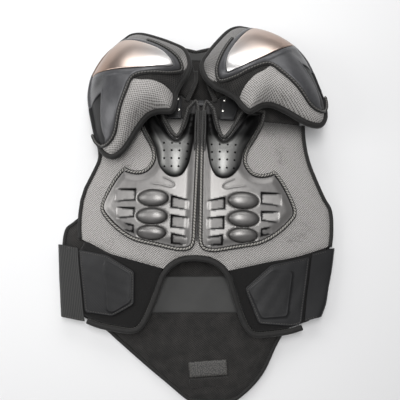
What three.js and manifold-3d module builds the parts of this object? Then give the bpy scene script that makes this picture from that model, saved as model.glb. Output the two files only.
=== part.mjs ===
// A motorcycle armour vest lying on its back: a padded back panel with waist wings and a pointed tail,
// a domed mesh front with two moulded chest plates, two shoulder cups and a wrap-round waist belt.
// Millimetres. +X is the viewer's right, +Y points to the collar, +Z is up from the surface it lies on.
import * as THREE from 'three';
import { mergeVertices } from 'three/addons/utils/BufferGeometryUtils.js';
import Module from 'manifold-3d';

const wasm = await Module();
wasm.setup();

// Driving dimensions
const clearance = 0.3; // gap between pieces that touch
const backHalfWidth = 236; // centre line to the edge of a waist wing
const collarReach = 308; // origin to the top of the collar
const tailReach = 331; // origin to the tip of the tail
const backThickness = 12;
const bindingWidth = 7; // folded tape on every sewn edge
const frontMargin = 7; // how much narrower each half of the front is than the back
const frontHalfWidth = backHalfWidth - frontMargin;
const frontReach = 184; // origin to the neck edge of the front
const hemReach = 117; // origin to the hem's lowest point
const frontThickness = 7;
const chestRise = 34; // how far the front stands off the back at mid chest
const yokeShare = 0.772; // how far up the front the seam between mesh and yoke lies
const yokeLine = yokeShare * frontReach;
const loopReach = 214; // origin to the bottom of the hook-and-loop panels
const loopThickness = 4;
const plateReach = 167; // centre line to the outer tip of a chest plate
const plateAbove = 165; // origin to the top of a chest plate
const plateBelow = 88; // origin to the bottom of a chest plate
const plateThickness = 6;
const plateGap = 10; // centre line to where the chest plate's table starts
const pipingWidth = 7; // taped cord round each chest plate
const pipingHeight = 5;
const pipingParting = 1.8; // centre line to the two pipings that run side by side
const ventRise = 8.5; // how far a vent dome stands above its chest plate
const cupLength = 202; // tip at the neck to the arm end
const cupWidth = 142; // tip at the neck to the outer edge
const cupRim = 66; // height of the rim beside the neck
const cupCrest = 105; // top of the padded cup above the surface the vest lies on
const cupWall = 8;
const shellThickness = 3;
const metalThickness = 1.5;
const tabThickness = 2.5;

// How the soft parts lie, as the photograph shows them
const frontTurn = THREE.MathUtils.degToRad(-1.7);
const frontShift = -3;
const backShift = -7;
const tailDrift = 27; // the tail has slid towards +X

const smooth = (low, high, value) => THREE.MathUtils.smoothstep(value, low, high);

// A point of a table: out is a share of the half width, up a share of the reach above or below the origin
function place(row, halfWidth, above, below) {
  return new THREE.Vector2(row.out * halfWidth, row.up * (row.up < 0 ? below : above));
}

// A smooth line through table points, broken where a row is marked as a corner
function trace(points, corners, step) {
  const line = [];
  let start = 0;
  for (let i = 1; i < points.length; i++) {
    if (i < points.length - 1 && !corners[i]) continue;
    const run = points.slice(start, i + 1);
    const curve = run.length > 2 ? new THREE.SplineCurve(run) : new THREE.LineCurve(run[0], run[1]);
    const count = Math.max(1, Math.round(curve.getLength() / step));
    line.push(...curve.getSpacedPoints(count).slice(0, count));
    start = i;
  }
  line.push(points[points.length - 1].clone());
  return line;
}

function mirrored(points) {
  return points.map((p) => new THREE.Vector2(-p.x, p.y)).reverse();
}

// A whole symmetrical outline from its right half, which runs from the centre line to the centre line
function wholeOutline(half) {
  return [...half, ...mirrored(half).slice(1, -1)];
}

// The same closed line moved inwards, or outwards if the distance is negative
function inset(outline, distance) {
  const turn = THREE.ShapeUtils.area(outline) > 0 ? 1 : -1;
  const count = outline.length;
  return outline.map((p, i) => {
    const arriving = p.clone().sub(outline[(i + count - 1) % count]).normalize();
    const leaving = outline[(i + 1) % count].clone().sub(p).normalize();
    const along = arriving.clone().add(leaving).normalize();
    const reach = (turn * distance) / Math.max(along.dot(leaving), 0.5);
    return new THREE.Vector2(p.x - along.y * reach, p.y + along.x * reach);
  });
}

function isInside(outline, x, y) {
  let inside = false;
  for (let i = 0, j = outline.length - 1; i < outline.length; j = i++) {
    const a = outline[i];
    const b = outline[j];
    if (a.y > y !== b.y > y && x < ((b.x - a.x) * (y - a.y)) / (b.y - a.y) + a.x) inside = !inside;
  }
  return inside;
}

// Distance from a point to a closed line
function edgeDistance(outline, x, y) {
  let best = Infinity;
  for (let i = 0, j = outline.length - 1; i < outline.length; j = i++) {
    const a = outline[i];
    const b = outline[j];
    const dx = b.x - a.x;
    const dy = b.y - a.y;
    const share = ((x - a.x) * dx + (y - a.y) * dy) / Math.max(dx * dx + dy * dy, 1e-9);
    const t = THREE.MathUtils.clamp(share, 0, 1);
    best = Math.min(best, Math.hypot(x - a.x - t * dx, y - a.y - t * dy));
  }
  return best;
}

// Delaunay triangles of a set of points, by adding one point at a time
function delaunay(points) {
  const far = 1e5;
  const all = [...points];
  const first = all.length;
  all.push(new THREE.Vector2(-far, -far), new THREE.Vector2(far, -far), new THREE.Vector2(0, far));
  const circle = (a, b, c) => {
    const [p, q, r] = [all[a], all[b], all[c]];
    const d = 2 * (p.x * (q.y - r.y) + q.x * (r.y - p.y) + r.x * (p.y - q.y));
    const [pp, qq, rr] = [p.lengthSq(), q.lengthSq(), r.lengthSq()];
    const x = (pp * (q.y - r.y) + qq * (r.y - p.y) + rr * (p.y - q.y)) / d;
    const y = (pp * (r.x - q.x) + qq * (p.x - r.x) + rr * (q.x - p.x)) / d;
    return { a, b, c, x, y, size: (p.x - x) ** 2 + (p.y - y) ** 2 };
  };
  let found = [circle(first, first + 1, first + 2)];
  for (let i = 0; i < first; i++) {
    const p = all[i];
    const edges = new Map();
    const kept = [];
    for (const t of found) {
      if ((p.x - t.x) ** 2 + (p.y - t.y) ** 2 >= t.size) {
        kept.push(t);
        continue;
      }
      for (const [u, v] of [[t.a, t.b], [t.b, t.c], [t.c, t.a]]) {
        if (!edges.delete(v + '_' + u)) edges.set(u + '_' + v, [u, v]);
      }
    }
    for (const [u, v] of edges.values()) kept.push(circle(u, v, i));
    found = kept;
  }
  return found.filter((t) => t.a < first && t.b < first && t.c < first).map((t) => [t.a, t.b, t.c]);
}

// The inside of an outline as points and triangles about spacing apart, with any seams kept as edges
function meshArea(outline, spacing, seams = []) {
  const box = new THREE.Box2().setFromPoints(outline);
  const rowStep = spacing * 0.87;
  const margin = spacing * 0.55;
  const jitter = 1e-3; // keeps four points off one circle
  const points = [...outline, ...seams].map((p) => p.clone());
  for (let row = 0, y = box.min.y; y < box.max.y; row++, y += rowStep) {
    for (let x = box.min.x + (row % 2) * spacing * 0.5; x < box.max.x; x += spacing) {
      const isClear = seams.every((p) => Math.hypot(p.x - x, p.y - y) > margin);
      if (isClear && isInside(outline, x, y) && edgeDistance(outline, x, y) > margin) {
        points.push(new THREE.Vector2(x + jitter * Math.sin(row * 7 + x), y + jitter * Math.cos(x * 3)));
      }
    }
  }
  const triangles = delaunay(points).filter(([a, b, c]) => {
    const x = (points[a].x + points[b].x + points[c].x) / 3;
    const y = (points[a].y + points[b].y + points[c].y) / 3;
    return isInside(outline, x, y);
  });
  return { points, triangles };
}

function geometryOf(positions, index) {
  const geometry = new THREE.BufferGeometry();
  geometry.setAttribute('position', new THREE.Float32BufferAttribute(positions, 3));
  geometry.setIndex(index);
  return geometry;
}

// A sheet over an outline, between a lower and an upper surface
function sheet(outline, spacing, lower, upper) {
  return sheetOver(meshArea(outline, spacing), lower, upper);
}

function sheetOver({ points, triangles }, lower, upper) {
  const count = points.length;
  const positions = [];
  for (const p of points) positions.push(p.x, p.y, upper(p.x, p.y));
  for (const p of points) positions.push(p.x, p.y, lower(p.x, p.y));
  const index = [];
  const open = new Map();
  for (const [a, b, c] of triangles) {
    index.push(a, b, c, a + count, c + count, b + count);
    for (const [u, v] of [[a, b], [b, c], [c, a]]) {
      if (!open.delete(v + '_' + u)) open.set(u + '_' + v, [u, v]);
    }
  }
  for (const [u, v] of open.values()) index.push(v, u, u + count, v, u + count, v + count);
  return geometryOf(positions, index);
}

// A closed surface from rings of points, each ring closed and all of one length
function lofted(rings, isClosed) {
  const sides = rings[0].length;
  const positions = rings.flat().flatMap((p) => [p.x, p.y, p.z]);
  const index = [];
  const spans = isClosed ? rings.length : rings.length - 1;
  for (let r = 0; r < spans; r++) {
    const here = r * sides;
    const next = ((r + 1) % rings.length) * sides;
    for (let s = 0; s < sides; s++) {
      const t = (s + 1) % sides;
      index.push(here + s, here + t, next + t, here + s, next + t, next + s);
    }
  }
  if (!isClosed) {
    const last = (rings.length - 1) * sides;
    for (let s = 1; s < sides - 1; s++) {
      index.push(0, s + 1, s, last, last + s, last + s + 1);
    }
  }
  return geometryOf(positions, index);
}

// A round or oval cord along a line that stays roughly level; width is across, height is up
function cordAlong(line, width, height, sides, isClosed) {
  const rings = line.map((p, i) => {
    const count = line.length;
    const before = isClosed ? line[(i + count - 1) % count] : line[Math.max(i - 1, 0)];
    const after = isClosed ? line[(i + 1) % count] : line[Math.min(i + 1, count - 1)];
    const along = after.clone().sub(before).normalize();
    const across = new THREE.Vector3(along.y, -along.x, 0).normalize();
    const up = across.clone().cross(along);
    return Array.from({ length: sides }, (_, s) => {
      const angle = ((s + 0.5) / sides) * Math.PI * 2;
      return p.clone()
        .addScaledVector(across, (Math.cos(angle) * width) / 2)
        .addScaledVector(up, (Math.sin(angle) * height) / 2);
    });
  });
  return lofted(rings, isClosed);
}

function outwards(geometry) {
  const solid = solidOf(geometry);
  if (solid.volume() > 0) return geometry;
  const index = Array.from(geometry.index.array);
  for (let i = 0; i < index.length; i += 3) [index[i + 1], index[i + 2]] = [index[i + 2], index[i + 1]];
  geometry.setIndex(index);
  return geometry;
}

function solidOf(geometry) {
  const bare = new THREE.BufferGeometry();
  bare.setAttribute('position', geometry.getAttribute('position'));
  bare.setIndex(geometry.index);
  const merged = mergeVertices(bare, 1e-4);
  return new wasm.Manifold(new wasm.Mesh({
    numProp: 3,
    vertProperties: merged.attributes.position.array,
    triVerts: new Uint32Array(merged.index.array),
  }));
}

function geometryFromSolid(solid) {
  const mesh = solid.getMesh();
  const positions = [];
  for (let i = 0; i < mesh.numVert; i++) {
    positions.push(...mesh.vertProperties.subarray(i * mesh.numProp, i * mesh.numProp + 3));
  }
  return geometryOf(positions, Array.from(mesh.triVerts));
}

const materials = {
  mesh: { color: 0x8f8c87, roughness: 0.9, metalness: 0 },
  blackMesh: { color: 0x2b2b2b, roughness: 0.92, metalness: 0 },
  tape: { color: 0x222222, roughness: 0.85, metalness: 0 },
  loop: { color: 0x141414, roughness: 0.98, metalness: 0 },
  plate: { color: 0x6d6c69, roughness: 0.35, metalness: 0.1 },
  vent: { color: 0x3a3a3a, roughness: 0.3, metalness: 0.1 },
  shell: { color: 0x4a4a4c, roughness: 0.35, metalness: 0 },
  metal: { color: 0xc9b8ab, roughness: 0.25, metalness: 1 },
  elastic: { color: 0x4b4b4b, roughness: 0.9, metalness: 0 },
  rubber: { color: 0x2f2f30, roughness: 0.6, metalness: 0 },
};

function piece(parent, name, look, geometry) {
  const shown = outwards(geometry);
  shown.computeVertexNormals();
  const mesh = new THREE.Mesh(shown, new THREE.MeshStandardMaterial(materials[look]));
  mesh.name = name;
  parent.add(mesh);
  return mesh;
}

const vest = new THREE.Group();

// Back panel: one padded piece from collar to tail, with a wing each side at the waist
const back = new THREE.Group();
back.position.x = backShift;
vest.add(back);

const backEdge = [
  { out: 0, up: -1 },
  { out: 0.12, up: -0.996 },
  { out: 0.2, up: -0.972 },
  { out: 0.38, up: -0.86 },
  { out: 0.56, up: -0.715 },
  { out: 0.66, up: -0.645 },
  { out: 0.82, up: -0.58 },
  { out: 0.87, up: -0.53 },
  { out: 0.94, up: -0.39 },
  { out: 0.985, up: -0.25 },
  { out: 0.975, up: -0.14 },
  { out: 0.91, up: -0.095 },
  { out: 0.84, up: -0.04 },
  { out: 0.79, up: 0.12 },
  { out: 0.73, up: 0.28 },
  { out: 0.64, up: 0.4 },
  { out: 0.56, up: 0.55 },
  { out: 0.53, up: 0.72 },
  { out: 0.5, up: 0.85 },
  { out: 0.4, up: 0.93 },
  { out: 0.2, up: 0.99 },
  { out: 0, up: 0.965 },
];
const backPoints = backEdge.map((row) => place(row, backHalfWidth, collarReach, tailReach));
const driftStart = -0.62; // share of the tail's reach where it starts to slide
const driftEnd = -0.95;

function drifted(x, y) {
  return x + tailDrift * smooth(-driftStart, -driftEnd, -y / tailReach);
}

const backStep = 25;
const backOutline = wholeOutline(trace(backPoints, [], backStep))
  .map((p) => new THREE.Vector2(drifted(p.x, p.y), p.y));
const backBody = inset(backOutline, bindingWidth + clearance);
const backSpacing = 60;
piece(back, 'back_panel', 'blackMesh', sheet(backBody, backSpacing, () => 0, () => backThickness));

const backBindingLine = inset(backOutline, bindingWidth / 2)
  .map((p) => new THREE.Vector3(p.x, p.y, backThickness / 2));
piece(back, 'back_binding', 'tape', cordAlong(backBindingLine, bindingWidth, backThickness, 5, true));

// Waist band: smooth cloth sewn across the inside of the back, seen through the arch
const waistBandTop = -127;
const waistBandBottom = -188;
const waistBandHalf = 150;
const waistBandThickness = 1.5;
const bandSpacing = 50;
const onBack = backThickness + clearance;
const waistBandOutline = trace([
  new THREE.Vector2(-waistBandHalf, waistBandBottom),
  new THREE.Vector2(waistBandHalf, waistBandBottom),
  new THREE.Vector2(waistBandHalf, waistBandTop),
  new THREE.Vector2(-waistBandHalf, waistBandTop),
  new THREE.Vector2(-waistBandHalf, waistBandBottom),
], [true, true, true, true, true], bandSpacing).slice(0, -1);
piece(back, 'inner_waist_band', 'rubber',
  sheet(waistBandOutline, bandSpacing, () => onBack, () => onBack + waistBandThickness));

// Collar band: smooth cloth along the top of the inside
const collarBandOutline = trace([
  new THREE.Vector2(-0.34, 0.885),
  new THREE.Vector2(0.34, 0.885),
  new THREE.Vector2(0.34, 0.905),
  new THREE.Vector2(0.16, 0.95),
  new THREE.Vector2(0, 0.935),
  new THREE.Vector2(-0.16, 0.95),
  new THREE.Vector2(-0.34, 0.905),
  new THREE.Vector2(-0.34, 0.885),
].map((p) => new THREE.Vector2(p.x * backHalfWidth, p.y * collarReach)),
[true, true, true, false, false, false, true, true], 26).slice(0, -1);
piece(back, 'collar_band', 'tape',
  sheet(collarBandOutline, bandSpacing, () => onBack, () => onBack + waistBandThickness));

// Tail patch: a raised rectangle with a bevelled lip below it
const patchWidth = 64;
const patchHeight = 25;
const patchRise = 2.5;
const patchShare = 0.834; // how far down the tail the patch sits
const patchCentre = -patchShare * tailReach;
const patchTurn = THREE.MathUtils.degToRad(4);
const lipHeight = 14;
const lipGap = 2;
const tailSeat = new THREE.Group();
tailSeat.position.set(drifted(0, patchCentre) + 1, patchCentre, onBack);
tailSeat.rotation.z = patchTurn;
back.add(tailSeat);
const patchBlock = new THREE.BoxGeometry(patchWidth, patchHeight, patchRise);
patchBlock.translate(0, 0, patchRise / 2);
piece(tailSeat, 'tail_patch', 'blackMesh', patchBlock);
const lipTop = -patchHeight / 2 - lipGap;
const lipRing = (x) => [
  new THREE.Vector3(x, lipTop, 0),
  new THREE.Vector3(x, lipTop - lipHeight, 0),
  new THREE.Vector3(x, lipTop, patchRise),
];
piece(tailSeat, 'tail_patch_lip', 'blackMesh',
  lofted([lipRing(-patchWidth / 2), lipRing(patchWidth / 2)], false));

// Front: a domed mesh panel whose sides rest on the back
const front = new THREE.Group();
front.position.x = frontShift;
front.rotation.z = frontTurn;
vest.add(front);

const toFront = (x, y) => new THREE.Vector2(x - frontShift, y).rotateAround(new THREE.Vector2(), -frontTurn);

const hemLift = 0.3; // share of the chest rise that is left at the bottom of the belt panels
const neckLift = 0.7; // and at the neck
const sideTuck = 27; // how far in the left side lies at the waist
const sideTuckHigh = 18; // and at the ribs
// How far the left side is pulled in, at a distance from the centre line and a height
function tuck(out, y) {
  const amount = sideTuck - (sideTuck - sideTuckHigh) * smooth(-0.13 * hemReach, 0.11 * frontReach, y);
  const fromHem = smooth(-0.98 * hemReach, -0.615 * hemReach, y);
  const belowCup = 1 - smooth(0.33 * frontReach, 0.68 * frontReach, y);
  return amount * fromHem * belowCup * smooth(0.48 * frontHalfWidth, 0.83 * frontHalfWidth, out);
}
const tucked = (p) => new THREE.Vector2(p.x + tuck(-p.x, p.y), p.y);
function frontLower(x, y) {
  const out = x < 0 ? -x + tuck(-x + tuck(frontHalfWidth, y), y) : x;
  const across = 1 - Math.min(1, out / frontHalfWidth) ** 2.4;
  const towardsHem = smooth(-loopReach, 0.1 * frontReach, y);
  const towardsNeck = smooth(0.6 * frontReach, 1.1 * frontReach, y);
  const along = hemLift + (1 - hemLift) * towardsHem - (1 - neckLift) * towardsNeck;
  return onBack + chestRise * across * along;
}
const frontTop = (x, y) => frontLower(x, y) + frontThickness;

const hemEdge = [
  { out: 0, up: -0.795 },
  { out: 0.09, up: -0.81 },
  { out: 0.16, up: -0.865 },
  { out: 0.21, up: -0.94 },
  { out: 0.235, up: -1, corner: true },
  { out: 0.35, up: -0.945 },
  { out: 0.53, up: -0.86 },
  { out: 0.73, up: -0.775 },
  { out: 0.945, up: -0.635 },
  { out: 0.985, up: -0.6, corner: true },
];
const sideEdge = [
  { out: 1, up: -0.38 },
  { out: 0.995, up: -0.08 },
  { out: 0.935, up: 0.08 },
  { out: 0.83, up: 0.375 },
  { out: 0.79, up: 0.6 },
  { out: 0.785, up: 0.77, corner: true },
];
const onFront = (row) => place(row, frontHalfWidth, frontReach, hemReach);
const frontStep = 15;
const frontRows = [...hemEdge, ...sideEdge];
const yokeEnd = { out: 0, up: yokeLine / frontReach };
const frontPoints = [...frontRows, yokeEnd].map(onFront);
const frontHalf = trace(frontPoints, [...frontRows.map((row) => row.corner), true], frontStep);
const frontOutline = wholeOutline(frontHalf).map(tucked);
const frontSpacing = 33;
piece(front, 'front_panel', 'mesh', sheet(frontOutline, frontSpacing, frontLower, frontTop));

// Side bindings: folded tape down each edge of the mesh front
const hemCorner = onFront(hemEdge[hemEdge.length - 1]);
const sideStart = frontHalf.findIndex((p) => p.distanceTo(hemCorner) < 1e-6);
const sideLine = frontHalf.slice(sideStart, -Math.round(onFront(sideEdge[sideEdge.length - 1]).x / frontStep) - 1);
for (const [side, name] of [[-1, 'left'], [1, 'right']]) {
  const reach = bindingWidth / 2 + clearance;
  const edge = sideLine.map((p) => new THREE.Vector2(p.x - (side < 0 ? tuck(p.x, p.y) : 0), p.y));
  const tapeLine = edge.map((p, i) => {
    const before = edge[Math.max(i - 1, 0)];
    const after = edge[Math.min(i + 1, edge.length - 1)];
    const along = after.clone().sub(before).normalize();
    const x = p.x + along.y * reach;
    const y = p.y - along.x * reach;
    return new THREE.Vector3(side * x, y, frontLower(side * p.x, p.y) + frontThickness / 2);
  });
  piece(front, 'side_binding_' + name, 'tape',
    cordAlong(tapeLine, bindingWidth, frontThickness, 6, false));
}

// Yoke: the black top of the front, from the mesh up to the neck and the shoulders
const yokeEdge = [
  { out: 0, up: 0.775 },
  { out: 0.77, up: 0.775, corner: true },
  { out: 0.76, up: 0.82 },
  { out: 0.62, up: 0.91 },
  { out: 0.45, up: 1 },
  { out: 0.3, up: 1.07, corner: true },
  { out: 0.2, up: 1.05 },
  { out: 0.1, up: 0.985 },
  { out: 0, up: 0.975 },
];
const yokePoints = yokeEdge.map(onFront);
yokePoints[0].y = yokeLine + clearance;
yokePoints[1].y = yokeLine + clearance;
const yokeHalf = trace(yokePoints, yokeEdge.map((row) => row.corner), frontStep);
piece(front, 'yoke', 'tape', sheet(wholeOutline(yokeHalf), frontSpacing, frontLower, frontTop));

// Hook-and-loop panels: the black hem each side of the arch, which the belt tabs stick to
const loopEdge = [
  { out: 0.9, up: -0.79 },
  { out: 0.83, up: -0.91, corner: true },
  { out: 0.68, up: -0.965 },
  { out: 0.53, up: -0.99 },
  { out: 0.44, up: -0.995 },
  { out: 0.39, up: -0.95 },
  { out: 0.335, up: -0.82 },
  { out: 0.265, up: -0.6 },
];
const loopRows = loopEdge.map((row) => place(row, frontHalfWidth, frontReach, loopReach));
const hemStart = hemEdge.findIndex((row) => row.corner);
const archCorner = onFront(hemEdge[hemStart]);
const archIndex = frontHalf.findIndex((p) => p.distanceTo(archCorner) < 1e-6);
const hemLine = frontHalf.slice(archIndex, sideStart + 1)
  .map((p) => new THREE.Vector2(p.x, p.y - clearance * 2));
hemLine[0].add(new THREE.Vector2(3, -clearance));
hemLine[hemLine.length - 1].add(new THREE.Vector2(-4, -1.5));
const loopPoints = [...hemLine, ...loopRows, hemLine[0].clone()];
const loopCorners = loopPoints.map((_, i) => i < hemLine.length || i === hemLine.length + 1
  || i === loopPoints.length - 1);
const loopOutline = trace(loopPoints, loopCorners, frontStep).slice(0, -1);
const loopTop = (x, y) => frontLower(x, y) + loopThickness;
for (const [side, name] of [[-1, 'left'], [1, 'right']]) {
  const outline = side > 0 ? loopOutline : mirrored(loopOutline).map(tucked);
  piece(front, 'loop_panel_' + name, 'loop', sheet(outline, frontSpacing, frontLower, loopTop));
}

// Arch binding: thick rolled tape round the arch and along the bottom of both belt panels
const archWidth = 9;
const archEnd = 178; // centre line to where the tape goes under the belt
const archRows = [...hemEdge.slice(0, hemStart + 1).map(onFront), ...loopRows.slice(1).reverse()];
const archHalf = trace(archRows, [], 18).filter((p) => p.x < archEnd);
const archLine = archHalf.map((p, i) => {
  const before = archHalf[Math.max(i - 1, 0)];
  const after = archHalf[Math.min(i + 1, archHalf.length - 1)];
  const along = after.clone().sub(before).normalize();
  if (i === 0) along.set(1, 0);
  const reach = archWidth / 2 + clearance * 4;
  return new THREE.Vector2(p.x + along.y * reach, p.y - along.x * reach);
});
const archWhole = [...mirrored(archLine), ...archLine.slice(1)]
  .map((p) => new THREE.Vector3(p.x, p.y, frontLower(p.x, p.y) + archWidth / 2));
piece(front, 'arch_binding', 'tape', cordAlong(archWhole, archWidth, archWidth, 6, false));

// Shoulder straps: black mesh from the yoke back to the shoulders of the back panel
const strapEdge = [
  { out: 0.15, up: 0.6 },
  { out: 0.26, up: 0.638 },
  { out: 0.38, up: 0.662, corner: true },
  { out: 0.42, up: 0.72 },
  { out: 0.42, up: 0.8 },
  { out: 0.38, up: 0.865, corner: true },
  { out: 0.12, up: 0.875, corner: true },
  { out: 0.075, up: 0.8 },
  { out: 0.055, up: 0.735 },
  { out: 0.08, up: 0.67 },
  { out: 0.15, up: 0.6 },
];
const strapHalfWidth = 180;
const strapPadding = 7;
const strapCorners = strapEdge.map((row, i) => row.corner || i === strapEdge.length - 1);
const strapOutline = trace(strapEdge.map((row) => place(row, strapHalfWidth, collarReach, 0)),
  strapCorners, frontStep).slice(0, -1);
const strapFall = 190; // where the strap leaves the front and drops towards the back
const strapRest = 252;
function strapLower(x, y) {
  return onBack + (frontLower(x, y) - onBack) * (1 - smooth(strapFall, strapRest, y));
}
const strapTop = (x, y) => strapLower(x, y) + strapPadding;

// Neck binding: flat tape laid along the inner edge of each strap and over the yoke
const neckTape = [
  { out: 0.068, up: 0.8 },
  { out: 0.06, up: 0.73 },
  { out: 0.085, up: 0.655 },
  { out: 0.14, up: 0.57 },
];
const neckTapeWidth = 8;
const neckTapeHeight = 2.5;
const seat = 0.9; // a piece on a curved surface clears its facets
const onTop = (x, y) => Math.max(strapTop(x, y), y > strapFall ? 0 : frontTop(x, y)) + clearance * 2.2;

// Cup tabs: smooth straps fixed over the notch of each chest plate, with two rivets
const tabEdge = [
  { out: 0.2, up: 0.853, corner: true },
  { out: 0.345, up: 0.853, corner: true },
  { out: 0.4, up: 1.004, corner: true },
  { out: 0.4, up: 1.115, corner: true },
  { out: 0.2, up: 1.115, corner: true },
  { out: 0.2, up: 0.853, corner: true },
];
const tabCorners = tabEdge.map((row) => row.corner);
const tabSeat = (x, y) => frontTop(x, y) + seat;
const tabOutline = trace(tabEdge.map((row) => place(row, plateReach, plateAbove, 0)), tabCorners, 18)
  .slice(0, -1);
const rivetRadius = 3;
const rivetRise = 2;
const rivets = [{ out: 0.245, up: 1.082 }, { out: 0.23, up: 0.953 }];

for (const [side, name] of [[-1, 'left'], [1, 'right']]) {
  const shape = (line) => (side > 0 ? line : mirrored(line));
  piece(front, 'shoulder_strap_' + name, 'blackMesh',
    sheet(shape(strapOutline), frontSpacing, strapLower, strapTop));
  const tape = trace(neckTape.map((row) => place(row, strapHalfWidth, collarReach, 0)), [], 12)
    .map((p) => new THREE.Vector3(side * p.x, p.y, onTop(p.x, p.y) + neckTapeHeight / 2));
  piece(front, 'neck_binding_' + name, 'tape',
    cordAlong(tape, neckTapeWidth, neckTapeHeight, 6, false));
  piece(front, 'cup_tab_' + name, 'rubber',
    sheet(shape(tabOutline), frontSpacing, tabSeat, (x, y) => tabSeat(x, y) + tabThickness));
  for (const [i, row] of rivets.entries()) {
    const p = place(row, plateReach, plateAbove, 0);
    const head = new THREE.CylinderGeometry(rivetRadius * 0.6, rivetRadius, rivetRise, 10);
    head.rotateX(Math.PI / 2);
    head.translate(side * p.x, p.y, tabSeat(p.x, p.y) + tabThickness + clearance * 3 + rivetRise / 2);
    piece(front, 'cup_rivet_' + name + '_' + (i + 1), 'metal', head);
  }
}

// Chest plates: moulded foam with three domes, six ramped louvres and a notch at the top
const innerEdge = (pipingParting - plateGap) / (plateReach - plateGap);
const plateEdge = [
  { out: innerEdge, up: -0.72 },
  { out: innerEdge + 0.009, up: -0.845 },
  { out: innerEdge + 0.038, up: -0.94 },
  { out: innerEdge + 0.092, up: -0.99 },
  { out: innerEdge + 0.172, up: -1 },
  { out: 0.178, up: -0.989 },
  { out: 0.369, up: -0.92 },
  { out: 0.605, up: -0.83 },
  { out: 0.796, up: -0.636 },
  { out: 0.955, up: -0.364 },
  { out: 1, up: -0.193 },
  { out: 0.968, up: 0.012 },
  { out: 0.86, up: 0.206 },
  { out: 0.752, up: 0.327 },
  { out: 0.713, up: 0.303 },
  { out: 0.611, up: 0.279 },
  { out: 0.516, up: 0.303 },
  { out: 0.452, up: 0.4 },
  { out: 0.471, up: 0.515 },
  { out: 0.561, up: 0.667 },
  { out: 0.637, up: 0.818 },
  { out: 0.675, up: 0.988, corner: true },
  { out: 0.42, up: 0.988, corner: true },
  { out: 0.306, up: 0.83 },
  { out: 0.197, up: 0.679, corner: true },
  { out: 0.134, up: 0.83 },
  { out: 0.102, up: 0.988, corner: true },
  { out: innerEdge, up: 0.988, corner: true },
  { out: innerEdge, up: -0.72, corner: true },
];
const onPlate = (row) => {
  const p = place(row, plateReach - plateGap, plateAbove, plateBelow);
  return new THREE.Vector2(p.x + plateGap, p.y);
};
const plateStep = 15;
const plateCorners = plateEdge.map((row, i) => row.corner || i === plateEdge.length - 1);
const plateOutline = trace(plateEdge.map(onPlate), plateCorners, plateStep).slice(0, -1);
const plateBody = inset(plateOutline, pipingWidth + clearance);
const plateSeat = (x, y) => frontTop(x, y) + seat;
const plateLip = 0.6; // share of the thickness left at the edge
const plateRound = 14; // how far in the edge is rounded over
function plateTop(x, y) {
  const round = plateLip + (1 - plateLip) * smooth(0, plateRound, edgeDistance(plateBody, Math.abs(x), y));
  return plateSeat(x, y) + plateThickness * round;
}

const domeLength = 50;
const domeWidth = 27;
const domeRise = 7;
const domes = [
  { out: 0.413, down: 0.023, long: 1, wide: 1 },
  { out: 0.418, down: 0.364, long: 1, wide: 0.96 },
  { out: 0.417, down: 0.672, long: 0.94, wide: 0.87 },
];
const louvreDepth = 4.2;
const louvres = [
  { out: 0.2236, up: -0.076, wide: 20.9, flatOut: 0.03, flatUp: -0.145, flatWide: 16.5 },
  { out: 0.2185, up: -0.445, wide: 21.4, flatOut: 0.03, flatUp: -0.481, flatWide: 18.5 },
  { out: 0.2076, up: -0.765, wide: 17, flatOut: 0.045, flatUp: -0.805, flatWide: 13.5 },
  { out: 0.602, up: 0.044, wide: 19.5, flatOut: 0.83, flatUp: 0.027, flatWide: 22 },
  { out: 0.607, up: -0.298, wide: 15.6, flatOut: 0.805, flatUp: -0.305, flatWide: 18.6 },
  { out: 0.608, up: -0.605, wide: 12, flatOut: 0.72, flatUp: -0.56, flatWide: 12 },
];

// A recess whose floor climbs from its deep end to flush with the plate
function louvreCut(row, side) {
  const deep = place({ out: row.out, up: row.up }, plateReach - plateGap, plateBelow, plateBelow);
  const flat = place({ out: row.flatOut, up: row.flatUp }, plateReach - plateGap, plateBelow, plateBelow);
  const proud = 6;
  const ends = [[deep, row.wide, louvreDepth], [flat, row.flatWide, 0.2]].map(([p, wide, depth]) => {
    const x = side * (p.x + plateGap);
    return [[-0.5, -depth], [0.5, -depth], [0.5, proud], [-0.5, proud]].map(([across, rise]) => {
      const y = p.y + across * wide;
      return new THREE.Vector3(x, y, plateTop(x, y) + rise);
    });
  });
  return solidOf(outwards(lofted(ends, false)));
}

// Vent domes: hard glossy teardrops forked round each notch and pierced with rows of holes
const ventEdge = [
  { out: 0.195, up: 0.205 },
  { out: 0.25, up: 0.215 },
  { out: 0.3, up: 0.245 },
  { out: 0.35, up: 0.3 },
  { out: 0.38, up: 0.36 },
  { out: 0.395, up: 0.42 },
  { out: 0.415, up: 0.503 },
  { out: 0.455, up: 0.585 },
  { out: 0.5, up: 0.665 },
  { out: 0.575, up: 0.818 },
  { out: 0.6, up: 0.935, corner: true },
  { out: 0.475, up: 0.935, corner: true },
  { out: 0.37, up: 0.79 },
  { out: 0.275, up: 0.66 },
  { out: 0.225, up: 0.61 },
  { out: 0.19, up: 0.6 },
  { out: 0.155, up: 0.625 },
  { out: 0.12, up: 0.71 },
  { out: 0.08, up: 0.81 },
  { out: 0.062, up: 0.909, corner: true },
  { out: 0.002, up: 0.909, corner: true },
  { out: 0.004, up: 0.7 },
  { out: 0.01, up: 0.59 },
  { out: 0.025, up: 0.465 },
  { out: 0.052, up: 0.343 },
  { out: 0.1, up: 0.25 },
  { out: 0.145, up: 0.216 },
  { out: 0.195, up: 0.205 },
];
const ventWall = 2;
const ventRound = 18;
const ventCorners = ventEdge.map((row, i) => row.corner || i === ventEdge.length - 1);
const ventOutline = trace(ventEdge.map(onPlate), ventCorners, 12).slice(0, -1);
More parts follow.
